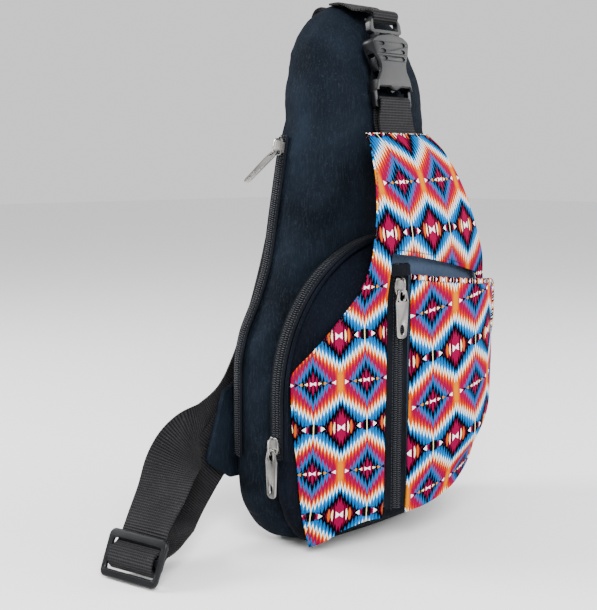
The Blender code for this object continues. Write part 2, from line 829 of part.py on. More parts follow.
# Female half in its own frame: X across, Y up the strap, Z towards the front
def buckle_female():
    outline = rounded([
        (-22.0, -2.4, 2.5), (22.0, -2.4, 2.5), (22.8, 8.0, 3.0), (20.0, 17.0, 4.0),
        (14.6, 25.5, 7.0), (20.0, 34.0, 6.0), (23.6, 44.5, 3.5), (16.0, 48.0, 4.0), (0.0, 50.5, 14.0),
        (-16.0, 48.0, 4.0), (-23.6, 44.5, 3.5), (-20.0, 34.0, 6.0), (-14.6, 25.5, 7.0),
        (-20.0, 17.0, 4.0), (-22.8, 8.0, 3.0)], 4)
    slot = rounded([(-19.4, 3.0, 1.2), (-19.4, 11.6, 1.2), (-7.0, 11.6, 1.5), (0.0, 8.0, 2.0),
                    (7.0, 11.6, 1.5), (19.4, 11.6, 1.2), (19.4, 3.0, 1.2)], 3)
    mesh = flat_piece("buckle_female", [outline, slot], BUCKLE_THICK, 1.0)
    item = add_part("buckle_female", mesh, moulded())
    item.matrix_world = buckle_frame()
    mouth = cutter("buckle_mouth", box_mesh("buckle_mouth", (-20.4, 17.5, -2.9), (20.4, 56.0, 2.9)))
    mouth.matrix_world = buckle_frame()
    combine(item, mouth, "DIFFERENCE")
    thin = cutter("buckle_frame_cut", box_mesh("buckle_frame_cut", (-24, -6, 2.0), (24, 9.5, 8)))
    thin.matrix_world = buckle_frame()
    combine(item, thin, "DIFFERENCE")
    rear = cutter("buckle_rear_cut", box_mesh("buckle_rear_cut", (-24, -6, -8), (24, 9.5, -2.0)))
    rear.matrix_world = buckle_frame()
    combine(item, rear, "DIFFERENCE")
    for side in (-1, 1):
        for k in range(3):
            place = oval(side * (13.2 - 1.0 * k), 42.0 - 5.2 * k, 3.6, 1.5)
            dent = cutter("buckle_grip", flat_piece("buckle_grip", [place], 2.0, 0.1))
            dent.matrix_world = buckle_frame() @ Matrix.Translation((0, 0, 0.0052))
            combine(item, dent, "DIFFERENCE")


# Male half in the same frame: a slotted head, two sprung arms and a centre guide
def buckle_male():
    arm = [(9.5, 50.0, 1.0), (9.5, 44.0, 1.0), (11.5, 34.0, 3.0), (12.0, 23.5, 1.2), (16.0, 22.5, 2.0),
           (18.4, 28.0, 2.0), (18.0, 33.0, 1.2), (15.0, 34.5, 1.0), (14.4, 44.0, 2.0), (15.5, 50.0, 1.0)]
    head = [(19.6, 51.5, 1.5), (19.0, 58.0, 3.0), (15.0, 63.0, 5.0), (0.0, 64.8, 20.0)]
    mirrored = [(-x, y, r) for x, y, r in reversed(head[:-1])]
    left_arm = [(-x, y, r) for x, y, r in arm]
    guide = [(-2.6, 50.0, 1.0), (-2.2, 31.0, 1.5), (2.2, 31.0, 1.5), (2.6, 50.0, 1.0)]
    outline = head + mirrored + list(reversed(left_arm)) + guide + arm
    slot = rounded([(-15.0, 53.4, 1.0), (15.0, 53.4, 1.0), (14.8, 59.4, 1.8), (0.0, 60.9, 12.0),
                    (-14.8, 59.4, 1.8)], 3)
    mesh = flat_piece("buckle_male", [rounded(outline, 3), slot], 5.0, 0.5)
    item = add_part("buckle_male", mesh, moulded())
    item.matrix_world = buckle_frame()


# A strip of webbing along stations of (point, outward normal)
def ribbon(name, stations, width, thickness, finish, steps=6):
    points, normals = [], []
    last = len(stations) - 1
    for k in range(last):
        around = [stations[min(max(k + d, 0), last)] for d in (-1, 0, 1, 2)]
        for j in range(steps):
            t = j / steps
            points.append(spline([Vector(s[0]) for s in around], t))
            normals.append(spline([Vector(s[1]) for s in around], t).normalized())
    points.append(Vector(stations[-1][0]))
    normals.append(Vector(stations[-1][1]).normalized())
    half, rise = width / 2, thickness / 2
    section = [(-half, -rise), (-half / 3, -rise), (half / 3, -rise), (half, -rise),
               (half, rise), (half / 3, rise), (-half / 3, rise), (-half, rise)]
    return swept(name, [tuple(p) for p in points], [tuple(n) for n in normals], section, finish)


def spline(around, t):
    a, b, c, d = around
    return 0.5 * ((2 * b) + (c - a) * t + (2 * a - 5 * b + 4 * c - d) * t * t
                  + (3 * b - a - 3 * c + d) * t * t * t)


def glide_frame():
    yaw, lean = math.radians(GLIDE_YAW), math.radians(GLIDE_LEAN)
    across = Vector((math.cos(yaw), math.sin(yaw), 0.0))
    level = Vector((-math.sin(yaw), math.cos(yaw), 0.0))
    up = Vector((0, 0, 1)) * math.cos(lean) + level * math.sin(lean)
    return frame_at(GLIDE_FOOT, across, up)


def glide_place(run, out):
    matrix = glide_frame()
    point = matrix @ Vector((0.0, run * MM, out * MM))
    return tuple(point / MM)


def tri_glide():
    half = GLIDE_WIDTH / 2
    outline = rounded([(-half + 1.0, 0.0, 4.5), (half - 1.0, 0.0, 4.5), (half, GLIDE_HEIGHT, 5.0),
                       (-half, GLIDE_HEIGHT, 5.0)], 4)
    inner = WEBBING / 2 + 1.3
    low = rounded([(-inner, 5.4, 1.5), (inner, 5.4, 1.5), (inner, 13.4, 1.5), (-inner, 13.4, 1.5)], 3)
    high = rounded([(-inner, 18.0, 1.5), (inner, 18.0, 1.5), (inner, 26.0, 1.5), (-inner, 26.0, 1.5)], 3)
    mesh = flat_piece("tri_glide", [outline, low, high], GLIDE_THICK, 0.8)
    item = add_part("tri_glide", mesh, moulded())
    item.matrix_world = glide_frame()


# The shoulder strap: sewn at the top of the back, down the pad, out past the wing, through the
# adjuster round its middle bar, and back to the wing
def strap_webbing():
    matrix = glide_frame().to_3x3()
    away = -(matrix @ Vector((0, 0, 1)))
    down = -(matrix @ Vector((0, 1, 0)))
    behind = BACK + PAD_THICK + GAP + 1.6
    stations = [
        ((2.0, BACK - 0.7, 376.0), (0, 1, 0.12)),
        ((0.0, BACK + 1.1, 361.0), (0, 1, 0.05)),
        ((-5.0, BACK + 3.4, 345.0), (0, 1, 0)),
        ((-10.0, behind + 0.3, 326.0), (0, 1, 0)),
        ((-24.0, behind + 0.5, 270.0), (0, 1, 0)),
        ((-42.0, behind + 0.5, 200.0), (0, 1, 0)),
        ((-62.0, behind + 0.5, 145.0), (0, 1, 0)),
        ((-84.0, behind + 1.5, 104.0), (0, 1, 0.02)),
        ((-108.0, behind + 2.0, 86.0), (0.05, 1, 0.0)),
        ((-130.0, behind - 1.0, 80.0), (0.30, 0.95, -0.05)),
        ((-150.0, behind - 10.0, 68.0), (0.62, 0.72, -0.25)),
        ((-166.0, behind - 19.0, 52.0), (0.78, 0.45, -0.40)),
        (glide_place(40.0, -4.4), away),
        (glide_place(31.0, -3.7), away + down * 0.15),
        (glide_place(24.0, -1.6), away + down * 0.9),
        (glide_place(20.2, 2.6), away * 0.6 + down),
        (glide_place(15.7, 3.6), -away * -1.0),
        (glide_place(11.2, 2.6), away * 0.6 - down),
        (glide_place(8.0, -1.8), away * 0.2 - down),
        (glide_place(7.6, -5.4), -away * 0.7 - down),
        (glide_place(12.0, -8.2), -away),
        (glide_place(20.0, -9.8), -away),
        ((-170.0, 34.0, 18.0), (-0.75, -0.35, 0.55)),
        ((-146.0, 48.0, 32.0), (-0.40, -0.85, 0.35)),
        ((-122.0, behind + 0.6, 50.0), (-0.12, -0.98, 0.12)),
        ((-104.0, BACK + WING_THICK + 3.0, 68.0), (0, -1, 0)),
        ((-92.0, BACK + WING_THICK + 1.6, 82.0), (0, -1, 0)),
    ]
    ribbon("strap_webbing", stations, WEBBING, WEB_THICK, webbing_finish(), 4)


# Short strip sewn in the top seam, folded round the male half's bar
def top_webbing():
    matrix = buckle_frame()

    def place(run, out):
        return tuple((matrix @ Vector((0.0, run * MM, out * MM))) / MM)

    x = BUCKLE_X
    stations = [
        ((x, 25.0, HEIGHT + 0.6), (0, 0.1, 1)),
        ((x, 14.0, HEIGHT - 2.5), (0, -0.35, 1)),
        ((x, 4.0, HEIGHT - 9.0), (0, -0.6, 1)),
        (place(66.4, -4.4), (0, -0.6, 1)),
        (place(68.2, 0.0), (0, -0.5, 1)),
        (place(65.0, 4.3), (0, -1, 0.4)),
        (place(60.6, 3.9), (0, -1, -0.2)),
        (place(56.2, 0.0), (0, -0.4, -1)),
        (place(57.0, -5.4), (0, 0.5, -1)),
    ]
    ribbon("top_webbing", stations, 28.0, WEB_THICK, webbing_finish(), 4)


# Short loop sewn behind the yoke, round the female half's lower bar
def flap_webbing():
    matrix = buckle_frame()

    def place(run, out):
        return tuple((matrix @ Vector((0.0, run * MM, out * MM))) / MM)

    x = BUCKLE_X
    stations = [
        ((x, -35.6, 281.0), (0, -0.8, 0.6)),
        ((x, -26.0, 293.0), (0, -0.8, 0.6)),
        ((x, -22.6, 302.0), (0, -1, 0.2)),
        (place(-1.0, 3.4), (0, -1, 0.1)),
        (place(4.0, 3.5), (0, -1, -0.3)),
        (place(5.6, 0.0), (0, 0, -1)),
        (place(4.0, -3.4), (0, 1, -0.3)),
        (place(-1.0, -3.2), (0, 1, 0.1)),
        ((x, -18.2, 301.0), (0, 1, 0.2)),
        ((x, -22.6, 291.0), (0, 0.9, 0.4)),
    ]
    ribbon("flap_webbing", stations, WEBBING - 1.0, WEB_THICK, webbing_finish(), 4)


def hang_loop():
    stations = [
        ((-8.0, 33.0, HEIGHT + 1.2), (0, 0, 1)),
        ((-8.0, 40.0, HEIGHT + 2.8), (0, 0.3, 1)),
        ((-8.0, 48.0, HEIGHT + 0.5), (0, 0.8, 0.6)),
        ((-8.0, 52.0, HEIGHT - 6.0), (0, 1, 0.1)),
        ((-8.0, 51.0, HEIGHT - 12.0), (0, 1, -0.4)),
        ((-8.0, 48.6, HEIGHT - 8.5), (0, -0.2, -1)),
    ]
    ribbon("hang_loop", stations[:5], 10.0, 1.2, webbing_finish(), 4)


# Three-cornered tab that carries the lower end of the strap
def strap_wing():
    outline = rounded([(-78.0, 44.0, 6.0), (-97.0, 44.5, 4.0), (-119.0, 60.0, 6.0), (-103.0, 110.0, 4.0),
                       (-88.0, 118.0, 4.0)], 4)
    mesh = flat_piece("strap_wing", [outline], WING_THICK, 1.2)
    item = add_part("strap_wing", mesh, canvas())
    item.matrix_world = frame_at((0, BACK + GAP + WING_THICK / 2, 0), (1, 0, 0), (0, 0, 1))


# Padded back panel: an inset outline with a crowned face
def back_panel():
    levels = [PAD_LOW + (PAD_TOP - PAD_LOW) * k / 19 for k in range(20)]
    inset = 22.0
    outline = []
    for height in levels:
        outline.append((-(body_level(height)[0] - inset) + 0.0, height))
    for height in reversed(levels):
        outline.append((body_level(height)[0] - inset, height))
    outline = [(max(-75.0, min(75.0, x)), z) for x, z in outline]
    rings = []
    for scale, lift in ((1.0, 0.0), (1.0, 2.6), (0.975, 4.4), (0.9, 5.2), (0.5, PAD_THICK)):
        ring = []
        for x, z in outline:
            px, pz = x * scale, between(165.0, z, scale)
            ring.append((px, BACK + GAP + lift, pz))
        rings.append(ring)
    loft("back_panel", rings, canvas())


def build():
    global PARTS, CUTTERS
    clear_scene()
    PARTS = make_collection("sling_backpack")
    CUTTERS = make_collection("cutters")
    main_compartment()
    middle_compartment()
    print_front()
    pocket_lining()
    print_pocket()
    front_zip()
    zip_top_tab()
    arch_zip()
    arch_piping()
    main_zip()
    zip_hardware()
    buckle_female()
    buckle_male()
    tri_glide()
    strap_webbing()
    top_webbing()
    flap_webbing()
    hang_loop()
    strap_wing()
    back_panel()


build()
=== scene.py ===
"""Looks of the sling backpack: cloth forms, printed panels, webbing, zips, finishes, light and camera.

Sizes in the functions below are in millimetres, as in the part's source, and become metres in a mesh.
"""
import math

import bmesh
import bpy
from bpy.props import FloatProperty, FloatVectorProperty, IntProperty, PointerProperty
from mathutils import Matrix, Vector, noise


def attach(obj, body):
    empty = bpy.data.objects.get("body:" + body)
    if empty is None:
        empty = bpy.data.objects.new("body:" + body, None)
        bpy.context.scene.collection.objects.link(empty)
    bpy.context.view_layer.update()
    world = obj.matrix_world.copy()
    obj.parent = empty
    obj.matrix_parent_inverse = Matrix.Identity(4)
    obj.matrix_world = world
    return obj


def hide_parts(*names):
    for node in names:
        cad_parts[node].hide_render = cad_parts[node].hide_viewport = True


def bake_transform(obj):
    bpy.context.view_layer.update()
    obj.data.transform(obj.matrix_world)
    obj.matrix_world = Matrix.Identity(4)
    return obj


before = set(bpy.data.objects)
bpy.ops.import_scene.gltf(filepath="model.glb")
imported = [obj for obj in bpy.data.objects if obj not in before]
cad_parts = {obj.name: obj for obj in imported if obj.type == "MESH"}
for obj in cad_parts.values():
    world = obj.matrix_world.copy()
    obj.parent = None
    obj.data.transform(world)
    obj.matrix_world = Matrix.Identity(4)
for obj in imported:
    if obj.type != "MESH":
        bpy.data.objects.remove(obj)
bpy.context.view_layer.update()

bl_info = {
    "name": "Sling backpack",
    "version": (1, 0, 0),
    "blender": (4, 5, 0),
    "location": "3D View > Sidebar > Sling backpack",
    "description": "Builds the cloth, webbing, zips and finishes of a printed sling backpack",
    "category": "Object",
}

MM = 0.001
HALF_WIDTH = 105.0
BACK = 46.0
SEAM = -6.0
PRINT_THICK = 1.6
LINING_THICK = 1.2
FRONT_DEPTH = 55.0
PEAK_X = 20.0
MOUTH_LEFT = 212.0
MOUTH_RIGHT = 189.0
MOUTH_GAP = 12.0
YOKE_TOP = 294.0
POCKET_SWELL = 17.0
ARCH_FOOT = 115.0
ARCH_TOP = 221.0
RIM_DEPTH = 21.5
ARCH_ZIP_DEPTH = 14.0
ARCH_ZIP_LOW = 74.0
PIPING_RADIUS = 1.3
FRONT_ZIP_X = -25.0
FRONT_ZIP_WIDTH = 18.0
FRONT_ZIP_LOW = 30.0
FRONT_ZIP_TOP = 205.0
MAIN_ZIP_Y = 27.0
MAIN_ZIP_LOW = 68.0
MAIN_ZIP_TOP = 292.0
SIDE_ZIP_WIDTH = 13.0
GAP = 0.4
SHEET_GAP = 0.5
WEBBING = 38.0
WEB_THICK = 1.5
WING_THICK = 4.0
PAD_THICK = 5.5
PAD_LOW = 50.0
PAD_TOP = 322.0


# Flat sizes of the cut cloths in metres: width, length and area
FRONT_CUT = (0.185, 0.300, 0.01975)
POCKET_CUT = (0.130, 0.172, 0.01732)
LINING_CUT = (0.140, 0.190, 0.02014)

# Cells of the front cloth: left and right of the zip, below and above the pocket's mouth
FRONT_GRID = (26, 36, 84, 46)
POCKET_ROWS = 64
CLOTH_THICK = 1.4


def between(low, high, t):
    return low + (high - low) * t


def ease(t):
    t = min(1.0, max(0.0, t))
    return t * t * (3 - 2 * t)


# Smooth curve through a station table, with no overshoot
def station(table, height, column):
    if height <= table[0][0]:
        return table[0][column]
    if height >= table[-1][0]:
        return table[-1][column]
    rows = len(table)
    steps = [table[i + 1][0] - table[i][0] for i in range(rows - 1)]
    slopes = [(table[i + 1][column] - table[i][column]) / steps[i] for i in range(rows - 1)]
    grades = [slopes[0]]
    for i in range(1, rows - 1):
        before, after = slopes[i - 1], slopes[i]
        grades.append(2 * before * after / (before + after) if before * after > 0 else 0.0)
    grades.append(slopes[-1])
    i = max(k for k in range(rows - 1) if table[k][0] <= height)
    t = (height - table[i][0]) / steps[i]
    low, high = table[i][column], table[i + 1][column]
    return ((1 + 2 * t) * (1 - t) ** 2 * low + t * (1 - t) ** 2 * steps[i] * grades[i]
            + t * t * (3 - 2 * t) * high + t * t * (t - 1) * steps[i] * grades[i + 1])


LOWER_EDGE = (
    (-84.0, 5.0), (-74.0, 9.0), (-60.0, 18.0), (-44.0, 23.0), (-25.0, 24.0), (0.0, 27.0),
    (30.0, 35.0), (45.0, 43.0), (60.0, 53.0), (75.0, 66.0), (90.0, 84.0), (101.0, 104.0),
)
LEFT_EDGE = (
    (5.0, -81.0, 20.0), (38.0, -90.0, 22.0), (72.0, -95.0, 23.0), (103.0, -99.5, 23.5),
    (130.0, -101.0, 24.0), (146.0, -89.0, 29.0), (160.0, -76.0, 35.0), (184.0, -57.0, 46.5),
    (207.0, -51.0, 50.5), (233.0, -47.0, 50.5), (256.0, -44.0, 48.0), (282.0, -38.0, 37.0),
    (YOKE_TOP, -33.0, 26.5),
)
RIGHT_EDGE = (
    (MOUTH_RIGHT, 74.0, 48.0), (210.0, 66.0, 52.0), (233.0, 55.0, 51.5), (256.0, 46.0, 48.0),
    (282.0, 37.0, 37.0), (YOKE_TOP, 31.0, 27.0),
)
YOKE_CROWN = ((180.0, FRONT_DEPTH), (215.0, FRONT_DEPTH + 2.5), (240.0, FRONT_DEPTH), (262.0, 50.0),
              (282.0, 41.0), (YOKE_TOP, 30.5))


def lower_edge(x):
    return station(LOWER_EDGE, x, 1)


def panel_depth(x, height):
    low = min(height, 130.0)
    left, rim = station(LEFT_EDGE, low, 1), station(LEFT_EDGE, low, 2)
    if x < PEAK_X:
        share = (PEAK_X - x) / (PEAK_X - left)
    else:
        rim = LEFT_EDGE[4][2]
        share = (x - PEAK_X) / (103.0 - PEAK_X)
    return rim + (FRONT_DEPTH - rim) * (1 - min(1.0, share) ** 2.2)


def yoke_depth(x, height):
    left_x, left = station(LEFT_EDGE, height, 1), station(LEFT_EDGE, height, 2)
    right_x, right = station(RIGHT_EDGE, height, 1), station(RIGHT_EDGE, height, 2)
    share = min(1.0, max(0.0, (x - left_x) / (right_x - left_x)))
    chord = between(left, right, share)
    swell = station(YOKE_CROWN, height, 1) - (left + right) / 2
    return chord + swell * (1 - abs(2 * share - 1) ** 2.2)


def mouth_line(x):
    share = min(1.0, max(0.0, (x + 34.0) / 108.0))
    return between(MOUTH_LEFT, MOUTH_RIGHT, share ** 1.3)


def arch_ceiling(x):
    share = min(0.995, abs(x) / (HALF_WIDTH - 2.0))
    return ARCH_FOOT + (ARCH_TOP - ARCH_FOOT) * math.sqrt(1 - share * share)


def lining_depth(x, height):
    return panel_depth(x, height) - PRINT_THICK - SHEET_GAP


def pocket_top(x):
    share = min(1.0, max(0.0, (x + 15.0) / 86.0))
    corner = 11.0 * min(1.3, max(0.0, (x - 58.0) / 20.0)) ** 2
    return min(mouth_line(x) - MOUTH_GAP * (1 - share ** 1.6) - 0.8, arch_ceiling(x) - 6.0) - corner


def pocket_depth(x, t):
    height = between(lower_edge(x), pocket_top(x), t)
    across = (x + 15.0) / 116.0
    side = math.sin(math.pi * min(1.0, across ** 0.78)) ** 0.55 if 0 < across < 1 else 0.0
    rise = ease(t / 0.28)
    shape = between(0.35 * side, side, ease(across * 1.6))
    return panel_depth(x, height) + POCKET_SWELL * shape * rise + PRINT_THICK * 0.6


# Length along the front's curve from X 0, so that the print isn't stretched at the sides
def arc_table():
    places, total = [(-110.0, 0.0)], 0.0
    x = -110.0
    while x < 110.0:
        rise = panel_depth(x + 1.0, 100.0) - panel_depth(x, 100.0)
        total += math.hypot(1.0, rise)
        x += 1.0
        places.append((x, total))
    zero = station(places, 0.0, 1)
    return [(place, length - zero) for place, length in places]


ARC = arc_table()


def arc_length(x):
    k = min(len(ARC) - 2, max(0, int(x + 110.0)))
    t = (x - ARC[k][0]) / (ARC[k + 1][0] - ARC[k][0])
    return between(ARC[k][1], ARC[k + 1][1], t)


# Repeat of the print: diamonds across and up for a place on the cloth
def front_repeat(x, z):
    u = arc_length(x)
    low = (0.02524 * u + 0.00101 * z + 2.1653, -0.00011 * u + 0.01568 * z - 1.9886)
    high = (0.02501 * u + 0.00304 * z + 1.7393, -0.00052 * u + 0.01471 * z - 1.8507)
    t = ease((z - 175.0) / 50.0)
    return (between(low[0], high[0], t), between(low[1], high[1], t))


def pocket_repeat(x, z):
    u = x
    return (0.0268 * u + 0.00084 * z - 0.1371, -0.00361 * u + 0.0151 * z - 2.5918)


def ruffle(place, scale, seed):
    return noise.noise(Vector(place) * scale + Vector((seed, seed * 0.7, -seed)))


# Shader helpers
def new_group(name, inputs, outputs):
    group = bpy.data.node_groups.new(name, "ShaderNodeTree")
    for label, kind, value in inputs:
        socket = group.interface.new_socket(label, in_out="INPUT", socket_type=kind)
        if value is not None:
            socket.default_value = value
    for label, kind in outputs:
        group.interface.new_socket(label, in_out="OUTPUT", socket_type=kind)
    return group, group.nodes.new("NodeGroupInput"), group.nodes.new("NodeGroupOutput")


def connect(tree, source, target):
    if isinstance(source, (int, float, tuple)):
        target.default_value = source
    else:
        tree.links.new(source, target)


def calc(tree, operation, *values, clamp=False):
    node = tree.nodes.new("ShaderNodeMath")
    node.operation = operation
    node.use_clamp = clamp
    for k, value in enumerate(values):
        connect(tree, value, node.inputs[k])
    return node.outputs[0]


def mix_colour(tree, factor, low, high, blend="MIX"):
    node = tree.nodes.new("ShaderNodeMix")
    node.data_type = "RGBA"
    node.blend_type = blend
    connect(tree, factor, node.inputs["Factor"])
    connect(tree, low, node.inputs["A"])
    connect(tree, high, node.inputs["B"])
    return node.outputs["Result"]


def ramp(tree, factor, stops, constant=False):
    node = tree.nodes.new("ShaderNodeValToRGB")
    if constant:
        node.color_ramp.interpolation = "CONSTANT"
    elements = node.color_ramp.elements
    elements[0].position, elements[0].color = stops[0]
    elements[1].position, elements[1].color = stops[-1]
    for place, colour in stops[1:-1]:
        elements.new(place).color = colour
    connect(tree, factor, node.inputs["Fac"])
    return node.outputs["Color"]


def srgb(code):
    parts = [int(code[k:k + 2], 16) / 255 for k in (1, 3, 5)]
    linear = [c / 12.92 if c <= 0.04045 else ((c + 0.055) / 1.055) ** 2.4 for c in parts]
    return (*linear, 1.0)


BLACK_INK = (0.0008, 0.0004, 0.0014, 1.0)
MAGENTA = (0.20, 0.0, 0.034, 1.0)
SCARLET = (0.40, 0.003, 0.0, 1.0)
ORANGE = (0.48, 0.070, 0.0, 1.0)
AMBER = (0.52, 0.155, 0.0, 1.0)
CREAM = (0.90, 0.80, 0.42, 1.0)
WHITE = (0.92, 0.92, 0.93, 1.0)
AZURE = (0.0, 0.092, 0.29, 1.0)
SKY = (0.0, 0.23, 0.52, 1.0)
MAROON = (0.03, 0.0, 0.008, 1.0)


# Serrated diamonds, in repeats of the print: X across, Y up
def diamond_group():
    group, source, target = new_group(
        "serrated_diamonds", [("Repeat", "NodeSocketVector", None), ("Teeth", "NodeSocketFloat", 16.0),
                              ("Tooth depth", "NodeSocketFloat", 0.17)],
        [("Color", "NodeSocketColor")])
    t = group
    split = t.nodes.new("ShaderNodeSeparateXYZ")
    t.links.new(source.outputs["Repeat"], split.inputs[0])
    x, y = split.outputs[0], split.outputs[1]
    teeth = source.outputs["Teeth"]
    column = calc(t, "FLOOR", calc(t, "ADD", calc(t, "MULTIPLY", x, teeth), 0.5))
    stair = calc(t, "DIVIDE", column, teeth)
    near_x = calc(t, "PINGPONG", x, 0.5)
    near_y = calc(t, "PINGPONG", y, 0.5)
    far_x = calc(t, "SUBTRACT", 0.5, near_x)
    far_y = calc(t, "SUBTRACT", 0.5, near_y)
    step_x = calc(t, "PINGPONG", stair, 0.5)
    aside = calc(t, "ABSOLUTE", calc(t, "SUBTRACT", calc(t, "MULTIPLY", x, teeth), column))
    spike = calc(t, "MULTIPLY", calc(t, "SUBTRACT", aside, 0.25), source.outputs["Tooth depth"])

    def slope(share):
        return calc(t, "ADD", calc(t, "ADD", calc(t, "MULTIPLY", step_x, share), near_y), spike)

    inner, petal, warm_edge, cool_edge = slope(0.76), slope(0.56), slope(0.46), slope(0.45)
    hearts = [(0.0, MAGENTA), (0.09, BLACK_INK), (0.18, AZURE)]
    warm = [(0.0, SCARLET), (0.326, ORANGE), (0.346, AMBER), (0.374, CREAM)]
    cool = [(0.0, WHITE), (0.403, SKY), (0.437, AZURE)]
    step_far = calc(t, "SUBTRACT", 0.5, step_x)
    night = calc(t, "SUBTRACT", calc(t, "ADD", calc(t, "MULTIPLY", step_far, 0.69), far_y), spike)
    colour = mix_colour(t, calc(t, "LESS_THAN", warm_edge, 0.385), ramp(t, cool_edge, cool, constant=True),
                        ramp(t, warm_edge, warm, constant=True))

    def within(value, low, high):
        return calc(t, "MULTIPLY", calc(t, "GREATER_THAN", value, low), calc(t, "LESS_THAN", value, high))

    def paint(mask, ink):
        nonlocal colour
        colour = mix_colour(t, mask, colour, ink)

    def both(a, b):
        return calc(t, "MULTIPLY", a, b)

    def oval(a, wide, b, tall):
        return calc(t, "ADD", calc(t, "POWER", calc(t, "DIVIDE", a, wide), 2.0),
                    calc(t, "POWER", calc(t, "DIVIDE", b, tall), 2.0))

    def wedge(value, tip, slope):
        return calc(t, "LESS_THAN", value, calc(t, "MULTIPLY", calc(t, "SUBTRACT", tip, near_x), slope))

    # hearts of the warm and the cool diamonds, with dark rays through both
    paint(calc(t, "LESS_THAN", petal, 0.312), MAGENTA)
    paint(calc(t, "LESS_THAN", inner, 0.262), ramp(t, inner, hearts, constant=True))
    paint(calc(t, "LESS_THAN", night, 0.272), BLACK_INK)
    core = calc(t, "SUBTRACT", calc(t, "ADD", calc(t, "MULTIPLY", step_far, 0.60), far_y), spike)
    core_mask = calc(t, "LESS_THAN", core, 0.175)
    paint(core_mask, MAGENTA)
    ray = calc(t, "GREATER_THAN", aside, 0.37)
    paint(both(ray, both(calc(t, "LESS_THAN", inner, 0.09), calc(t, "GREATER_THAN", near_x, 0.02))),
          BLACK_INK)
    paint(both(ray, both(core_mask, calc(t, "GREATER_THAN", far_x, 0.04))), BLACK_INK)
    # bar between two warm diamonds, with its small points
    bar = both(calc(t, "LESS_THAN", far_x, 0.072), calc(t, "LESS_THAN", calc(t, "ADD", near_y, spike), 0.118))
    paint(bar, ORANGE)
    paint(both(bar, calc(t, "LESS_THAN", far_x, 0.045)), AMBER)
    point = calc(t, "MULTIPLY", calc(t, "SUBTRACT", 0.155, far_x), 0.34)
    paint(both(within(far_x, 0.085, 0.155), calc(t, "LESS_THAN", near_y, point)), WHITE)
    point = calc(t, "MULTIPLY", calc(t, "SUBTRACT", 0.24, far_x), 0.30)
    paint(both(within(far_x, 0.165, 0.24), calc(t, "LESS_THAN", near_y, point)), BLACK_INK)
    # figure in the heart of a warm diamond
    tie = calc(t, "ADD", calc(t, "MULTIPLY", near_x, 0.34), 0.004)
    paint(both(calc(t, "LESS_THAN", near_y, tie), calc(t, "LESS_THAN", near_x, 0.055)), WHITE)
    paint(both(wedge(near_y, 0.165, 0.26), within(near_x, 0.10, 0.165)), CREAM)
    paint(both(wedge(near_y, 0.265, 0.26), within(near_x, 0.195, 0.265)), AMBER)
    # dark oval between two cool diamonds, in its white points
    soot = calc(t, "ADD", calc(t, "ADD", far_y, calc(t, "MULTIPLY", near_x, 0.12)),
                calc(t, "MULTIPLY", spike, 0.4))
    paint(both(calc(t, "LESS_THAN", soot, 0.050), calc(t, "LESS_THAN", near_x, 0.26)), BLACK_INK)
    dart = calc(t, "MULTIPLY", calc(t, "SUBTRACT", 0.205, near_x), 0.42)
    paint(both(within(near_x, 0.125, 0.205), calc(t, "LESS_THAN", far_y, dart)), WHITE)
    paint(both(within(near_x, 0.085, 0.132), calc(t, "LESS_THAN", far_y, 0.034)), MAGENTA)
    heart = oval(near_x, 0.098, far_y, 0.060)
    paint(calc(t, "LESS_THAN", heart, 1.0), MAROON)
    paint(both(calc(t, "LESS_THAN", heart, 1.0), calc(t, "LESS_THAN", near_x, 0.07)), BLACK_INK)
    paint(both(calc(t, "LESS_THAN", near_x, 0.007), calc(t, "LESS_THAN", far_y, 0.064)), CREAM)
    # figure in the heart of a cool diamond
    fin = calc(t, "ADD", far_y, calc(t, "MULTIPLY", spike, 0.8))
    paint(both(within(far_x, 0.115, 0.15), calc(t, "LESS_THAN", fin, 0.036)), CREAM)
    paint(both(within(far_x, 0.165, 0.215), calc(t, "LESS_THAN", fin, 0.050)), ORANGE)
    tie = calc(t, "ADD", calc(t, "MULTIPLY", far_x, 0.52), 0.006)
    paint(both(calc(t, "LESS_THAN", far_y, tie), calc(t, "LESS_THAN", far_x, 0.066)), WHITE)
    t.links.new(colour, target.inputs["Color"])
    return group


# Plain weave from two crossing sets of threads; place is in metres
def weave_group():
    group, source, target = new_group(
        "plain_weave", [("Place", "NodeSocketVector", None), ("Thread", "NodeSocketFloat", 0.0009)],
        [("Height", "NodeSocketFloat"), ("Slub", "NodeSocketFloat")])
    t = group
    split = t.nodes.new("ShaderNodeSeparateXYZ")
    t.links.new(source.outputs["Place"], split.inputs[0])

    def wave(value, shift=0.0):
        turn = calc(t, "DIVIDE", calc(t, "MULTIPLY", value, 2 * math.pi), source.outputs["Thread"])
        return calc(t, "SINE", calc(t, "ADD", turn, shift))

    along = calc(t, "ADD", split.outputs[0], split.outputs[1])
    crossing = calc(t, "MULTIPLY", wave(along), wave(split.outputs[2]))
    slub = t.nodes.new("ShaderNodeTexNoise")
    stretch = t.nodes.new("ShaderNodeVectorMath")
    stretch.operation = "MULTIPLY"
    stretch.inputs[1].default_value = (900.0, 900.0, 140.0)
    t.links.new(source.outputs["Place"], stretch.inputs[0])
    t.links.new(stretch.outputs[0], slub.inputs["Vector"])
    slub.inputs["Scale"].default_value = 1.0
    slub.inputs["Detail"].default_value = 3.0
    height = calc(t, "ADD", calc(t, "MULTIPLY", crossing, 0.06), slub.outputs[0])
    t.links.new(height, target.inputs["Height"])
    t.links.new(slub.outputs[0], target.inputs["Slub"])
    return group


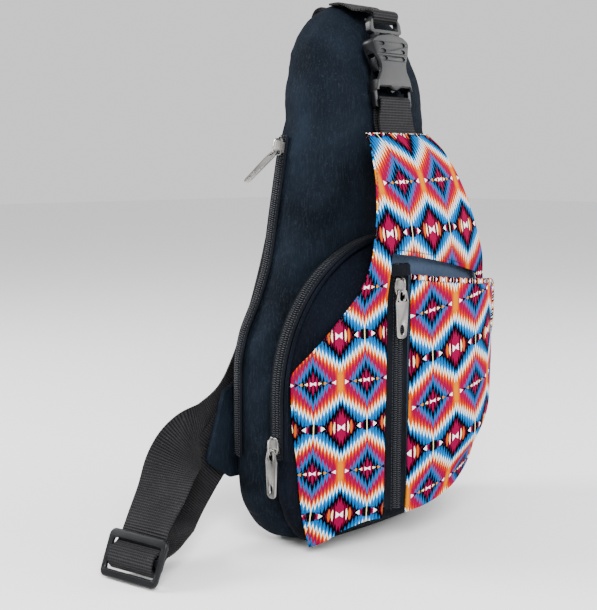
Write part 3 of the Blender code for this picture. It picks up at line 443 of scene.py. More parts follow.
# Large soft patches and dust that break up an even colour
def patch_group():
    group, source, target = new_group(
        "cloth_patches", [("Place", "NodeSocketVector", None), ("Size", "NodeSocketFloat", 14.0)],
        [("Patch", "NodeSocketFloat"), ("Fleck", "NodeSocketFloat")])
    patch = group.nodes.new("ShaderNodeTexNoise")
    patch.inputs["Detail"].default_value = 4.0
    group.links.new(source.outputs["Place"], patch.inputs["Vector"])
    group.links.new(source.outputs["Size"], patch.inputs["Scale"])
    fleck = group.nodes.new("ShaderNodeTexNoise")
    fleck.inputs["Scale"].default_value = 950.0
    fleck.inputs["Detail"].default_value = 2.0
    group.links.new(source.outputs["Place"], fleck.inputs["Vector"])
    bright = calc(group, "MULTIPLY", calc(group, "SUBTRACT", fleck.outputs[0], 0.62), 4.0, clamp=True)
    group.links.new(patch.outputs[0], target.inputs["Patch"])
    group.links.new(bright, target.inputs["Fleck"])
    return group


GROUPS = {}


def shared(name):
    makers = {"diamonds": diamond_group, "weave": weave_group, "patches": patch_group}
    if name not in GROUPS:
        GROUPS[name] = makers[name]()
    return GROUPS[name]


def use_group(tree, name, **inputs):
    node = tree.nodes.new("ShaderNodeGroup")
    node.node_tree = shared(name)
    for label, value in inputs.items():
        connect(tree, value, node.inputs[label.replace("_", " ")])
    return node


def new_material(name, roughness, metallic=0.0, sheen=0.0, shine=0.5):
    made = bpy.data.materials.new(name)
    made.use_nodes = True
    shader = made.node_tree.nodes["Principled BSDF"]
    shader.inputs["Roughness"].default_value = roughness
    shader.inputs["Metallic"].default_value = metallic
    shader.inputs["Sheen Weight"].default_value = sheen
    shader.inputs["Specular IOR Level"].default_value = shine
    return made, made.node_tree, shader


def bump(tree, shader, height, strength, distance=0.0004):
    node = tree.nodes.new("ShaderNodeBump")
    node.inputs["Strength"].default_value = strength
    node.inputs["Distance"].default_value = distance
    connect(tree, height, node.inputs["Height"])
    tree.links.new(node.outputs[0], shader.inputs["Normal"])


def place_of(tree):
    return tree.nodes.new("ShaderNodeTexCoord").outputs["Object"]


def cloth_finish(name, dark, light, fleck_colour, thread, roughness=0.82):
    made, tree, shader = new_material(name, roughness, shine=0.04)
    place = place_of(tree)
    weave = use_group(tree, "weave", Place=place, Thread=thread)
    patches = use_group(tree, "patches", Place=place, Size=16.0)
    base = ramp(tree, patches.outputs["Patch"], [(0.30, dark), (0.72, light)])
    slub = calc(tree, "MULTIPLY", calc(tree, "SUBTRACT", weave.outputs["Slub"], 0.5), 0.45, clamp=True)
    base = mix_colour(tree, slub, base, fleck_colour)
    fleck = calc(tree, "MULTIPLY", patches.outputs["Fleck"], 0.45)
    base = mix_colour(tree, fleck, base, fleck_colour)
    tree.links.new(base, shader.inputs["Base Color"])
    rough = calc(tree, "ADD", calc(tree, "MULTIPLY", patches.outputs["Patch"], 0.2), roughness - 0.1)
    tree.links.new(rough, shader.inputs["Roughness"])
    bump(tree, shader, weave.outputs["Height"], 0.7, 0.0005)
    return made


def printed_finish():
    made, tree, shader = new_material("printed_canvas", 0.85, shine=0.02)
    place = place_of(tree)
    uv = tree.nodes.new("ShaderNodeUVMap")
    uv.uv_map = "repeat"
    warp = tree.nodes.new("ShaderNodeTexNoise")
    warp.inputs["Scale"].default_value = 420.0
    tree.links.new(place, warp.inputs["Vector"])
    offset = tree.nodes.new("ShaderNodeVectorMath")
    offset.operation = "MULTIPLY_ADD"
    offset.inputs[1].default_value = (0.006, 0.012, 0.0)
    tree.links.new(warp.outputs["Color"], offset.inputs[0])
    tree.links.new(uv.outputs[0], offset.inputs[2])
    pattern = use_group(tree, "diamonds", Repeat=offset.outputs[0])
    weave = use_group(tree, "weave", Place=place, Thread=0.0008)
    patches = use_group(tree, "patches", Place=place, Size=22.0)
    thread = calc(tree, "MULTIPLY", calc(tree, "SUBTRACT", 1.0, weave.outputs["Slub"]), 0.18, clamp=True)
    colour = mix_colour(tree, thread, pattern.outputs[0], (0.0, 0.0, 0.0, 1.0))
    worn = calc(tree, "MULTIPLY", patches.outputs["Fleck"], 0.05)
    colour = mix_colour(tree, worn, colour, (0.30, 0.30, 0.32, 1.0))
    tree.links.new(colour, shader.inputs["Base Color"])
    rough = calc(tree, "ADD", calc(tree, "MULTIPLY", patches.outputs["Patch"], 0.15), 0.7)
    tree.links.new(rough, shader.inputs["Roughness"])
    bump(tree, shader, weave.outputs["Height"], 0.35, 0.0003)
    return made


# Ribs run across the strap; the second coordinate runs along it, in metres
def webbing_finish():
    made, tree, shader = new_material("ribbed_webbing", 0.62, sheen=0.03, shine=0.16)
    shader.inputs["Sheen Roughness"].default_value = 0.35
    uv = tree.nodes.new("ShaderNodeUVMap")
    uv.uv_map = "repeat"
    split = tree.nodes.new("ShaderNodeSeparateXYZ")
    tree.links.new(uv.outputs[0], split.inputs[0])
    rib = calc(tree, "SINE", calc(tree, "MULTIPLY", split.outputs[1], 2 * math.pi / 0.0019))
    cord = calc(tree, "SINE", calc(tree, "MULTIPLY", split.outputs[0], 2 * math.pi / 0.0015))
    height = calc(tree, "ADD", rib, calc(tree, "MULTIPLY", cord, 0.35))
    patches = use_group(tree, "patches", Place=place_of(tree), Size=30.0)
    tone = calc(tree, "ADD", calc(tree, "MULTIPLY", rib, 0.25), patches.outputs["Patch"])
    base = ramp(tree, tone, [(0.30, (0.0015, 0.0016, 0.0024, 1.0)), (0.85, (0.018, 0.017, 0.019, 1.0))])
    dust = calc(tree, "MULTIPLY", patches.outputs["Fleck"], 0.5)
    base = mix_colour(tree, dust, base, (0.09, 0.09, 0.10, 1.0))
    tree.links.new(base, shader.inputs["Base Color"])
    tree.links.new(calc(tree, "ADD", calc(tree, "MULTIPLY", patches.outputs["Patch"], 0.25), 0.5),
                   shader.inputs["Roughness"])
    bump(tree, shader, height, 0.7, 0.0003)
    return made


def metal_finish():
    made, tree, shader = new_material("satin_nickel", 0.3, metallic=1.0)
    place = place_of(tree)
    streak = tree.nodes.new("ShaderNodeTexNoise")
    streak.inputs["Scale"].default_value = 260.0
    streak.inputs["Detail"].default_value = 5.0
    tree.links.new(place, streak.inputs["Vector"])
    cloud = tree.nodes.new("ShaderNodeTexNoise")
    cloud.inputs["Scale"].default_value = 60.0
    tree.links.new(place, cloud.inputs["Vector"])
    base = ramp(tree, cloud.outputs[0], [(0.3, (0.16, 0.155, 0.148, 1.0)), (0.7, (0.36, 0.35, 0.335, 1.0))])
    tree.links.new(base, shader.inputs["Base Color"])
    rough = calc(tree, "ADD", calc(tree, "MULTIPLY", streak.outputs[0], 0.30), 0.16)
    tree.links.new(rough, shader.inputs["Roughness"])
    bump(tree, shader, streak.outputs[0], 0.12, 0.0002)
    return made


def moulded_finish():
    made, tree, shader = new_material("satin_acetal", 0.24, shine=0.24)
    place = place_of(tree)
    grain = tree.nodes.new("ShaderNodeTexNoise")
    grain.inputs["Scale"].default_value = 1400.0
    grain.inputs["Detail"].default_value = 2.0
    tree.links.new(place, grain.inputs["Vector"])
    patches = use_group(tree, "patches", Place=place, Size=45.0)
    base = ramp(tree, patches.outputs["Patch"],
                [(0.3, (0.0008, 0.001, 0.0016, 1.0)), (0.75, (0.0030, 0.0036, 0.0052, 1.0))])
    tree.links.new(base, shader.inputs["Base Color"])
    rough = calc(tree, "ADD", calc(tree, "MULTIPLY", patches.outputs["Patch"], 0.25), 0.24)
    tree.links.new(rough, shader.inputs["Roughness"])
    bump(tree, shader, grain.outputs[0], 0.18, 0.00015)
    return made


def plain_finish(name, code, roughness):
    made, tree, shader = new_material(name, roughness, sheen=0.02, shine=0.25)
    place = place_of(tree)
    patches = use_group(tree, "patches", Place=place, Size=180.0)
    colour = srgb(code)
    darker = tuple(c * 0.6 for c in colour[:3]) + (1.0,)
    tree.links.new(ramp(tree, patches.outputs["Patch"], [(0.3, darker), (0.7, colour)]),
                   shader.inputs["Base Color"])
    bump(tree, shader, patches.outputs["Patch"], 0.2, 0.0002)
    return made


FINISHES = {}


def finish(name):
    makers = {
        "canvas": lambda: cloth_finish("black_canvas_cloth", (0.0008, 0.0011, 0.0018, 1.0),
                                       (0.0086, 0.0134, 0.0215, 1.0), (0.05, 0.065, 0.09, 1.0), 0.0015),
        # darker copy of the black canvas for the arch compartment and its piping: painted shade, as these
        # faces lie below where the light falls on the top
        "painted_shade_canvas": lambda: cloth_finish("black_canvas_painted_shade", (0.0007, 0.0009, 0.0018, 1.0),
                                       (0.0034, 0.0048, 0.0088, 1.0), (0.024, 0.034, 0.058, 1.0), 0.0013),
        "lining": lambda: cloth_finish("slate_lining_cloth", (0.022, 0.034, 0.055, 1.0),
                                       (0.045, 0.065, 0.105, 1.0), (0.10, 0.13, 0.18, 1.0), 0.0007),
        "tape": lambda: cloth_finish("zip_tape", (0.0015, 0.0018, 0.0026, 1.0), (0.007, 0.008, 0.011, 1.0),
                                     (0.025, 0.03, 0.04, 1.0), 0.0006),
        "print": printed_finish,
        "webbing": webbing_finish,
        "metal": metal_finish,
        "moulded": moulded_finish,
        "thread": lambda: plain_finish("black_thread", "#22262E", 0.6),
        "coil": lambda: plain_finish("nylon_coil", "#1A1D23", 0.42),
    }
    if name not in FINISHES:
        FINISHES[name] = makers[name]()
    return FINISHES[name]


# Mesh helpers
def add_piece(name, mesh, look, body="bag", replaced=(), smooth=True):
    item = link_mesh(name, mesh)
    mesh.materials.clear()
    mesh.materials.append(finish(look))
    if smooth:
        mesh.shade_smooth()
    if replaced:
        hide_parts(*replaced)
    if body:
        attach(item, body)
    return item


def mesh_from(name, points, faces, uvs=None):
    mesh = bpy.data.meshes.new(name)
    mesh.from_pydata([Vector(p) * MM for p in points], [], faces)
    if uvs:
        layer = mesh.uv_layers.new(name="repeat")
        for loop in mesh.loops:
            layer.data[loop.index].uv = uvs[loop.vertex_index]
    return mesh


def bake_modifiers(item):
    bpy.context.view_layer.update()
    seen = item.evaluated_get(bpy.context.evaluated_depsgraph_get())
    mesh = bpy.data.meshes.new_from_object(seen)
    old = item.data
    item.modifiers.clear()
    item.data = mesh
    bpy.data.meshes.remove(old)
    return mesh


def link_mesh(name, mesh):
    item = bpy.data.objects.new(name, mesh)
    bpy.context.scene.collection.objects.link(item)
    return item


def thicken(item, thickness):
    solid = item.modifiers.new("thickness", "SOLIDIFY")
    solid.thickness = thickness * MM
    solid.offset = -1.0


def round_edges(item, width, segments, degrees):
    edge = item.modifiers.new("edge", "BEVEL")
    edge.width = width * MM
    edge.segments = segments
    edge.limit_method = "ANGLE"
    edge.angle_limit = math.radians(degrees)


# The mesh of an object with its modifiers applied; the object goes
def finished_mesh(item):
    mesh = bake_modifiers(item)
    bpy.data.objects.remove(item, do_unlink=True)
    return mesh


def normals_out(mesh):
    shape = bmesh.new()
    shape.from_mesh(mesh)
    bmesh.ops.recalc_face_normals(shape, faces=shape.faces)
    shape.to_mesh(mesh)
    shape.free()


# A cloth panel from rows of points on its outer face, with a rolled edge
def cloth_panel(name, rows, uvs, look, thickness, keep=None, body="bag", replaced=(), flat=None):
    width = len(rows[0])
    points = [p for row in rows for p in row]
    places = [uv for row in uvs for uv in row]
    faces = []
    for j in range(len(rows) - 1):
        for i in range(width - 1):
            if keep and not keep(i, j):
                continue
            a = j * width + i
            faces.append((a, a + 1, a + width + 1, a + width))
    mesh = mesh_from(name, points, faces, places)
    shape = bmesh.new()
    shape.from_mesh(mesh)
    bmesh.ops.delete(shape, geom=[v for v in shape.verts if not v.link_faces], context="VERTS")
    shape.to_mesh(mesh)
    shape.free()
    item = link_mesh(name, mesh)
    thicken(item, thickness)
    round_edges(item, 0.5, 2, 55)
    made = add_piece(name, finished_mesh(item), look, body, replaced)
    if flat:
        width, length, area = flat
    return made


# A strip with rounded edges along (point, outward normal) stations, 2nd UV along it in metres
def strip(name, stations, width, thickness, look, body="bag", replaced=(), steps=10, wobble=0.0):
    points, normals = [], []
    last = len(stations) - 1
    for k in range(last):
        around = [stations[min(max(k + d, 0), last)] for d in (-1, 0, 1, 2)]
        for j in range(steps):
            t = j / steps
            points.append(spline([Vector(s[0]) for s in around], t))
            normals.append(spline([Vector(s[1]) for s in around], t).normalized())
    points.append(Vector(stations[-1][0]))
    normals.append(Vector(stations[-1][1]).normalized())
    half, rise = width / 2, thickness / 2
    section = [(-half, 0.0), (-half + 0.35, -rise), (-half / 2, -rise), (0.0, -rise), (half / 2, -rise),
               (half - 0.35, -rise), (half, 0.0), (half - 0.35, rise), (half / 2, rise), (0.0, rise),
               (-half / 2, rise), (-half + 0.35, rise)]
    widths = [station_width(stations, k, steps) for k in range(len(points))]
    return sweep(name, points, normals, section, look, body, replaced, wobble, widths)


# Share of its full width that a strip keeps at a step; a station may name it third
def station_width(stations, index, steps):
    k = min(len(stations) - 1, index // steps)
    after = min(len(stations) - 1, k + 1)
    shares = [stations[i][2] if len(stations[i]) > 2 else 1.0 for i in (k, after)]
    return between(*shares, ease((index % steps) / steps))


def sweep(name, points, normals, section, look, body="bag", replaced=(), wobble=0.0, widths=None):
    count = len(section)
    vertices, uvs, length = [], [], 0.0
    for k, here in enumerate(points):
        here = Vector(here)
        ahead = Vector(points[min(k + 1, len(points) - 1)])
        behind = Vector(points[max(k - 1, 0)])
        if k:
            length += (here - Vector(points[k - 1])).length
        along = (ahead - behind).normalized()
        out = Vector(normals[k])
        out = (out - along * out.dot(along)).normalized()
        side = out.cross(along)
        for w, n in section:
            w *= widths[k] if widths else 1.0
            lift = wobble * ruffle((w * 0.3, length * 0.3, 0.0), 0.35, 3.1) if wobble else 0.0
            vertices.append(tuple(here + side * w + out * (n + lift)))
            uvs.append((w * MM, length * MM))
    faces = []
    for level in range(len(points) - 1):
        for i in range(count):
            j = (i + 1) % count
            faces.append((level * count + i, level * count + j,
                          (level + 1) * count + j, (level + 1) * count + i))
    faces.append(tuple(range(count)))
    faces.append(tuple(range((len(points) - 1) * count, len(points) * count)))
    mesh = mesh_from(name, vertices, faces, uvs)
    normals_out(mesh)
    item = add_piece(name, mesh, look, body, replaced)
    mesh.set_sharp_from_angle(angle=math.radians(60))
    return item


def spline(around, t):
    a, b, c, d = around
    return 0.5 * ((2 * b) + (c - a) * t + (2 * a - 5 * b + 4 * c - d) * t * t
                  + (3 * b - a - 3 * c + d) * t * t * t)


def round_section(radius, sides=8):
    return [(radius * math.cos(2 * math.pi * k / sides), radius * math.sin(2 * math.pi * k / sides))
            for k in range(sides)]


# Small capsules laid end to end along a path: sewing, or the teeth of a coil
def pips(name, places, look, body="bag"):
    vertices, faces = [], []
    for centre, along, out, length, wide, tall in places:
        centre, along, out = Vector(centre), Vector(along).normalized(), Vector(out)
        out = (out - along * out.dot(along)).normalized()
        side = out.cross(along)
        start = len(vertices)
        for shift, scale in ((-0.5, 0.35), (-0.36, 0.9), (0.36, 0.9), (0.5, 0.35)):
            for k in range(6):
                turn = math.pi * k / 3
                vertices.append(tuple(centre + along * (shift * length)
                                      + side * (math.cos(turn) * scale * wide / 2)
                                      + out * (math.sin(turn) * scale * tall / 2)))
        for ring in range(3):
            for k in range(6):
                a, b = start + ring * 6 + k, start + ring * 6 + (k + 1) % 6
                faces.append((a, b, b + 6, a + 6))
        faces.append(tuple(start + k for k in reversed(range(6))))
        faces.append(tuple(start + 18 + k for k in range(6)))
    mesh = mesh_from(name, vertices, faces)
    normals_out(mesh)
    return add_piece(name, mesh, look, body, ())


def resample(points, normals, pitch):
    out, carry = [], 0.0
    for k in range(len(points) - 1):
        a, b = Vector(points[k]), Vector(points[k + 1])
        span = (b - a).length
        place = carry
        while place < span:
            t = place / span
            normal = Vector(normals[k]).lerp(Vector(normals[k + 1]), t)
            out.append((a.lerp(b, t), (b - a).normalized(), normal))
            place += pitch
        carry = place - span
    return out


def sew(name, lines, pitch=3.4, length=2.5, look="thread", body="bag"):
    places = []
    for points, normals in lines:
        for centre, along, out in resample(points, normals, pitch):
            places.append((centre + Vector(out).normalized() * 0.12, along, out, length, 0.65, 0.5))
    return pips(name, places, look, body)


# Cloth bodies
def settle_cloth(item, pressure, limit, held, frames, shrink):
    rest = [v.co.copy() for v in item.data.vertices]
    group = item.vertex_groups.new(name="held")
    for index, place in enumerate(rest):
        weight = held(place / MM)
        if weight > 0:
            group.add([index], weight, "REPLACE")
    cloth = item.modifiers.new("cloth", "CLOTH")
    settings = cloth.settings
    settings.quality = 4
    settings.mass = 0.15
    settings.use_pressure = True
    settings.uniform_pressure_force = pressure
    settings.vertex_group_mass = "held"
    settings.shrink_min = shrink
    settings.tension_stiffness = 12.0
    settings.compression_stiffness = 12.0
    settings.shear_stiffness = 4.0
    settings.bending_stiffness = 0.12
    settings.effector_weights.gravity = 0.0
    cloth.collision_settings.use_collision = False
    cloth.point_cache.frame_start = 1
    cloth.point_cache.frame_end = frames
    scene = bpy.context.scene
    for number in range(1, frames + 1):
        scene.frame_set(number)
    seen = item.evaluated_get(bpy.context.evaluated_depsgraph_get())
    moved = [v.co.copy() for v in seen.data.vertices]
    item.modifiers.remove(cloth)
    scene.frame_set(1)
    for vertex, start, end in zip(item.data.vertices, rest, moved):
        step = end - start
        if step.length > limit * MM:
            step = step.normalized() * limit * MM
        vertex.co = start + step
    item.vertex_groups.clear()


def body_hold(place):
    x, y, z = place
    if z < 4.0 or (y < SEAM + 2.5 and z < 232.0 and abs(x) < 104.0):
        return 1.0
    if x < 0 and z > 55.0 and abs(y - MAIN_ZIP_Y) < 7.0:
        return 1.0
    if y > BACK - 1.5 and PAD_LOW < z < PAD_TOP and abs(x) < 76.0:
        return 1.0
    if abs(x) < 26.0 and z > 340.0:
        return 1.0
    return 0.0


def soft_body(name, node, look, voxel, hold, limit, pressure=3.0, shrink=-0.03, keep=None):
    item = link_mesh(name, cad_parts[node].data.copy())
    remesh = item.modifiers.new("remesh", "REMESH")
    remesh.mode = "VOXEL"
    remesh.voxel_size = voxel * MM
    relax = item.modifiers.new("relax", "SMOOTH")
    relax.factor = 0.5
    relax.iterations = 6
    bake_modifiers(item)
    settle_cloth(item, pressure, limit, hold, 16, shrink)
    if keep:
        for vertex in item.data.vertices:
            vertex.co = Vector(keep(vertex.co / MM)) * MM
    finer = item.modifiers.new("finer", "SUBSURF")
    finer.levels = 1
    finer.render_levels = 1
    made = add_piece(name, finished_mesh(item), look, "bag", (node,))


# Width share of the body's top by height: square shoulders that slant in to the top seam
BROW = ((312.0, 1.0), (330.0, 1.05), (345.0, 1.10), (354.0, 1.14), (364.0, 1.14), (376.0, 1.10),
        (386.0, 1.12))


# Keeps the body off its neighbours and adds the creases that run from the seams
def body_keep(place):
    x, y, z = place
    crease = ruffle((x, y * 2.2, z * 0.55), 0.035, 5.0) * 1.3
    free = ease((z - 20.0) / 30.0) * (1 - ease((z - 330.0) / 40.0))
    if y < SEAM + 4.0 and z < 226.0:
        return (x, max(y, SEAM + 0.1), max(z, 0.0))
    side = 1.0 if abs(x) > 12 else 0.0
    x += math.copysign(crease * free * side, x) * ease((abs(x) - 12.0) / 30.0)
    if z > 226.0 and y < 10.0:
        y += ruffle((x * 0.8, 0.0, z * 1.2), 0.045, 9.0) * 1.6 * free
    if y > BACK - 6.0:
        y = min(y, BACK + 0.1)
    brow = ease((z - 340.0) / 40.0)
    x *= station(BROW, z, 1)
    z += brow * (1.5 - 4.0 * ease((-x - 4.0) / 22.0))
    pinch = math.exp(-((z - 304.0) / 7.0) ** 2) * ease((-x - 18.0) / 20.0)
    x += 2.6 * pinch
    y += 1.6 * pinch * (1 if y < 20 else 0)
    return (x, y, max(z, 0.0))


def arch_hold(place):
    x, y, z = place
    if y > -12.0 or z < 3.0:
        return 1.0
    left = 0.5 if -26.0 < y else 0.0
    return max(left, 1.0 if abs(y + ARCH_ZIP_DEPTH) < 7.5 else 0.0)


def arch_keep(place):
    x, y, z = place
    if y < -RIM_DEPTH - 1.0:
        cover = panel_depth(x, z) - PRINT_THICK - LINING_THICK - 2 * SHEET_GAP - 0.4
        edge_x = station(LEFT_EDGE, z, 1)
        if edge_x - 4.0 < x and lower_edge(x) - 3.0 < z:
            y = max(y, -max(cover, RIM_DEPTH))
    return (x, min(y, SEAM - 0.5), max(z, 1.0))


# Outline of the arched compartment's side, with its outward direction
def arch_path_point(share):
    half = HALF_WIDTH - 1.0
    straight = ARCH_FOOT - ARCH_ZIP_LOW
    rise = ARCH_TOP - ARCH_FOOT
    length = straight * 2 + math.pi * (half + rise) / 2
    run = share * length
    if run < straight:
        return (-half, ARCH_ZIP_LOW + run), (-1, 0)
    if run > length - straight:
        return (half, ARCH_ZIP_LOW + length - run), (1, 0)
    angle = math.pi * (1 - (run - straight) / (length - 2 * straight))
    x, z = half * math.cos(angle), rise * math.sin(angle)
    out = Vector((x / half ** 2, z / rise ** 2)).normalized()
    return (x, ARCH_FOOT + z), tuple(out)


def front_rows(columns_left, columns_right, rows_low, rows_high):
    tape_edge = FRONT_ZIP_X - FRONT_ZIP_WIDTH / 2 - 2 * GAP
    count = columns_left + columns_right
    left_x, right_x = station(LEFT_EDGE, MOUTH_LEFT, 1), station(RIGHT_EDGE, MOUTH_RIGHT, 1)
    share = (tape_edge - left_x) / (right_x - left_x)
    high = []
    for j in range(rows_high + 1):
        t = j / rows_high
        row = []
        for i in range(count + 1):
            u = share * i / columns_left if i <= columns_left else between(
                share, 1.0, (i - columns_left) / columns_right)
            z_left = between(MOUTH_LEFT, YOKE_TOP, t)
            z_right = between(MOUTH_RIGHT, YOKE_TOP, t)
            x = between(station(LEFT_EDGE, z_left, 1), station(RIGHT_EDGE, z_right, 1), u)
            z = between(mouth_line(x) - 10.0 * ease((x - 56.0) / 14.0), YOKE_TOP, t)
            row.append((x, -yoke_depth(x, z), z))
        high.append(row)
    low = []
    for j in range(rows_low):
        t = j / rows_low
        edge = station(LEFT_EDGE, between(5.0, MOUTH_LEFT, t), 1)
        row = []
        for i in range(count + 1):
            x = between(edge, tape_edge, i / columns_left) if i <= columns_left else between(
                tape_edge, 66.0, (i - columns_left) / columns_right)
            z = between(lower_edge(x), mouth_line(x), t)
            foot = (x, -panel_depth(x, z), z)
            lift = high[0][i][1] + panel_depth(high[0][i][0], mouth_line(high[0][i][0]))
            row.append((foot[0], foot[1] + lift * ease((t - 0.8) / 0.2), foot[2]))
        low.append(row)
    return low + high


def soften(place, amount, seed):
    x, y, z = place
    return (x, y - amount * ruffle((x, 0.0, z * 0.7), 0.05, seed), z)


def pocket_rows(columns, rows):
    left = FRONT_ZIP_X + FRONT_ZIP_WIDTH / 2 + GAP
    made = []
    for j in range(rows + 1):
        t = (j / rows) ** 1.1
        row = []
        for i in range(columns + 1):
            x = between(left, 101.0, i / columns)
            z = between(lower_edge(x), pocket_top(x), t)
            row.append((x, -pocket_depth(x, t), z))
        made.append(row)
    return made


def lining_rows(columns, rows):
    left = FRONT_ZIP_X - FRONT_ZIP_WIDTH / 2 + 1.0
    made = []
    for j in range(rows + 1):
        row = []
        for i in range(columns + 1):
            x = between(left, 99.0, (i / columns) ** 0.85)
            top = min(mouth_line(x) + 6.0, arch_ceiling(x) - 4.0)
            z = between(lower_edge(x) + 7.0, top, j / rows)
            row.append((x, -lining_depth(x, z), z))
        made.append(row)
    return made


# Zip helpers
def coil_places(points, normals, pitch=1.55, half=1.55, lift=1.25):
    places = []
    for index, (centre, along, out) in enumerate(resample(points, normals, pitch)):
        out = Vector(out).normalized()
        side = out.cross(along)
        for sign in (-1, 1):
            shift = pitch / 2 if sign > 0 else 0.0
            middle = Vector(centre) + side * (sign * half) + out * lift + along * shift
            places.append((middle, side, out, 3.0, 1.05, 1.15))
    return places


# Distance of a zip's sewing from its middle
SEWN_AT = 3.9


def tape_section(width):
    half = width / 2
    return [(-half, 0.35), (-half, 0.0), (half, 0.0), (half, 0.35), (half - 0.3, 0.7), (3.0, 0.85),
            (0.0, 0.55), (-3.0, 0.85), (-half + 0.3, 0.7)]


def zip_chain(name, node, points, normals, width):
    sweep(name, points, normals, tape_section(width), "tape", "bag", (node,))
    pips(name + "_coil", coil_places(points, normals), "coil", "bag")
    lines = []
    for offset in (-SEWN_AT, SEWN_AT):
        line = []
        for k, here in enumerate(points):
            ahead = Vector(points[min(k + 1, len(points) - 1)])
            behind = Vector(points[max(k - 1, 0)])
            out = Vector(normals[k]).normalized()
            side = out.cross((ahead - behind).normalized())
            line.append(tuple(Vector(here) + side * offset + out * 0.75))
        lines.append((line, normals))
    sew(name + "_stitches", lines, 2.6, 1.9)


def front_zip_normal():
    slope = (lining_depth(FRONT_ZIP_X + 9.0, 100.0) - lining_depth(FRONT_ZIP_X - 9.0, 100.0)) / 18.0
    return (-slope, -1.0, 0.0)


def front_zip_points():
    depth = lining_depth(FRONT_ZIP_X, 100.0) + 0.9
    points = [(FRONT_ZIP_X, -depth, between(FRONT_ZIP_LOW, FRONT_ZIP_TOP, k / 40)) for k in range(41)]
    return points, [front_zip_normal()] * 41


def arch_zip_points():
    points, normals = [], []
    for k in range(121):
        (x, z), (nx, nz) = arch_path_point(k / 120)
        points.append((x + nx * GAP, -ARCH_ZIP_DEPTH, z + nz * GAP))
        normals.append((nx, 0, nz))
    return points, normals


# The side zip runs where the CAD chain runs; its line is read from the body's own side
BODY = (
    (47.0, 105.0, 46.0, -6.0), (130.0, 104.5, 46.0, -6.0), (152.0, 100.0, 46.0, -6.0),
    (178.0, 87.0, 46.0, -6.0), (205.0, 77.0, 46.0, -6.0), (240.0, 70.5, 46.0, -7.0),
    (292.0, 60.8, 46.0, -9.0), (325.0, 54.5, 46.0, -7.0), (348.0, 46.0, 46.0, -2.0),
)


def body_side(height, y):
    half, back, front = (station(BODY, height, column) for column in (1, 2, 3))
    share = min(1.0, abs(y - (back + front) / 2) / ((back - front) / 2))
    return half * (1 - share ** 3.2) ** (1 / 3.2)


def side_frame(height, y):
    step = 4.0
    slope_y = (body_side(height, y + step) - body_side(height, y - step)) / (2 * step)
    slope_z = (body_side(height + step, y) - body_side(height - step, y)) / (2 * step)
    out = Vector((-1.0, -slope_y, -slope_z)).normalized()
    return Vector((-body_side(height, y), y, height)), out


def main_zip_points():
    points, normals = [], []
    for k in range(81):
        place, out = side_frame(between(MAIN_ZIP_LOW, MAIN_ZIP_TOP, k / 80), MAIN_ZIP_Y)
        points.append(tuple(place + out * 1.0))
        normals.append(tuple(out))
    return points, normals


# Webbing routes
def frame_at(origin, x_way, y_way):
    x = Vector(x_way).normalized()
    y = Vector(y_way)
    y = (y - x * y.dot(x)).normalized()
    z = x.cross(y)
    matrix = Matrix((x, y, z)).transposed().to_4x4()
    matrix.translation = Vector(origin)
    return matrix


BUCKLE = frame_at((1.0, -18.5, 314.5), (1, 0, 0), (0, 9.7, 57.2))


def at_buckle(run, out, x=0.0):
    return tuple(BUCKLE @ Vector((x, run, out)))


def glide_matrix():
    yaw, lean = math.radians(-74.0), math.radians(27.0)
    across = Vector((math.cos(yaw), math.sin(yaw), 0.0))
    level = Vector((-math.sin(yaw), math.cos(yaw), 0.0))
    up = Vector((0, 0, 1)) * math.cos(lean) + level * math.sin(lean)
    return frame_at((-202.3, 23.3, 1.6), across, up)


GLIDE = glide_matrix()


def at_glide(run, out):
    return tuple(GLIDE @ Vector((0.0, run, out)))


def strap_stations():
    turn = GLIDE.to_3x3()
    away = -(turn @ Vector((0, 0, 1)))
    down = -(turn @ Vector((0, 1, 0)))
    behind = BACK + PAD_THICK + GAP + 1.6
    return [
        ((2.0, BACK - 0.7, 376.0), (0, 1, 0.12)),
        ((0.0, BACK + 1.1, 361.0), (0, 1, 0.05)),
        ((-5.0, BACK + 3.4, 345.0), (0, 1, 0)),
        ((-10.0, behind + 0.3, 326.0), (0, 1, 0)),
        ((-24.0, behind + 0.5, 270.0), (0, 1, 0)),
        ((-42.0, behind + 0.5, 200.0), (0, 1, 0)),
        ((-62.0, behind + 0.5, 145.0), (0, 1, 0)),
        ((-84.0, behind + 1.5, 104.0), (0, 1, 0.02)),
        ((-108.0, behind + 2.0, 86.0), (0.05, 1, 0.0)),
        ((-130.0, behind - 1.0, 80.0), (0.30, 0.95, -0.05)),
        ((-150.0, behind - 10.0, 68.0), (0.62, 0.72, -0.25)),
        ((-166.0, behind - 19.0, 52.0), (0.78, 0.45, -0.40)),
        (at_glide(40.0, -4.4), away),
        (at_glide(31.0, -3.7), away + down * 0.15),
        (at_glide(24.0, -1.6), away + down * 0.9),
        (at_glide(20.2, 2.6), away * 0.6 + down),
        (at_glide(15.7, 3.6), away),
        (at_glide(11.2, 2.6), away * 0.6 - down),
        (at_glide(8.0, -1.8), away * 0.2 - down),
        (at_glide(7.6, -5.4), -away * 0.7 - down),
        (at_glide(12.0, -8.2), -away),
        (at_glide(20.0, -9.8), -away),
        ((-170.0, 34.0, 18.0), (-0.75, -0.35, 0.55)),
        ((-146.0, 48.0, 32.0), (-0.40, -0.85, 0.35)),
        ((-122.0, behind + 0.6, 50.0), (-0.12, -0.98, 0.12)),
        ((-104.0, BACK + WING_THICK + 3.0, 68.0), (0, -1, 0)),
        ((-92.0, BACK + WING_THICK + 1.6, 82.0), (0, -1, 0)),
    ]


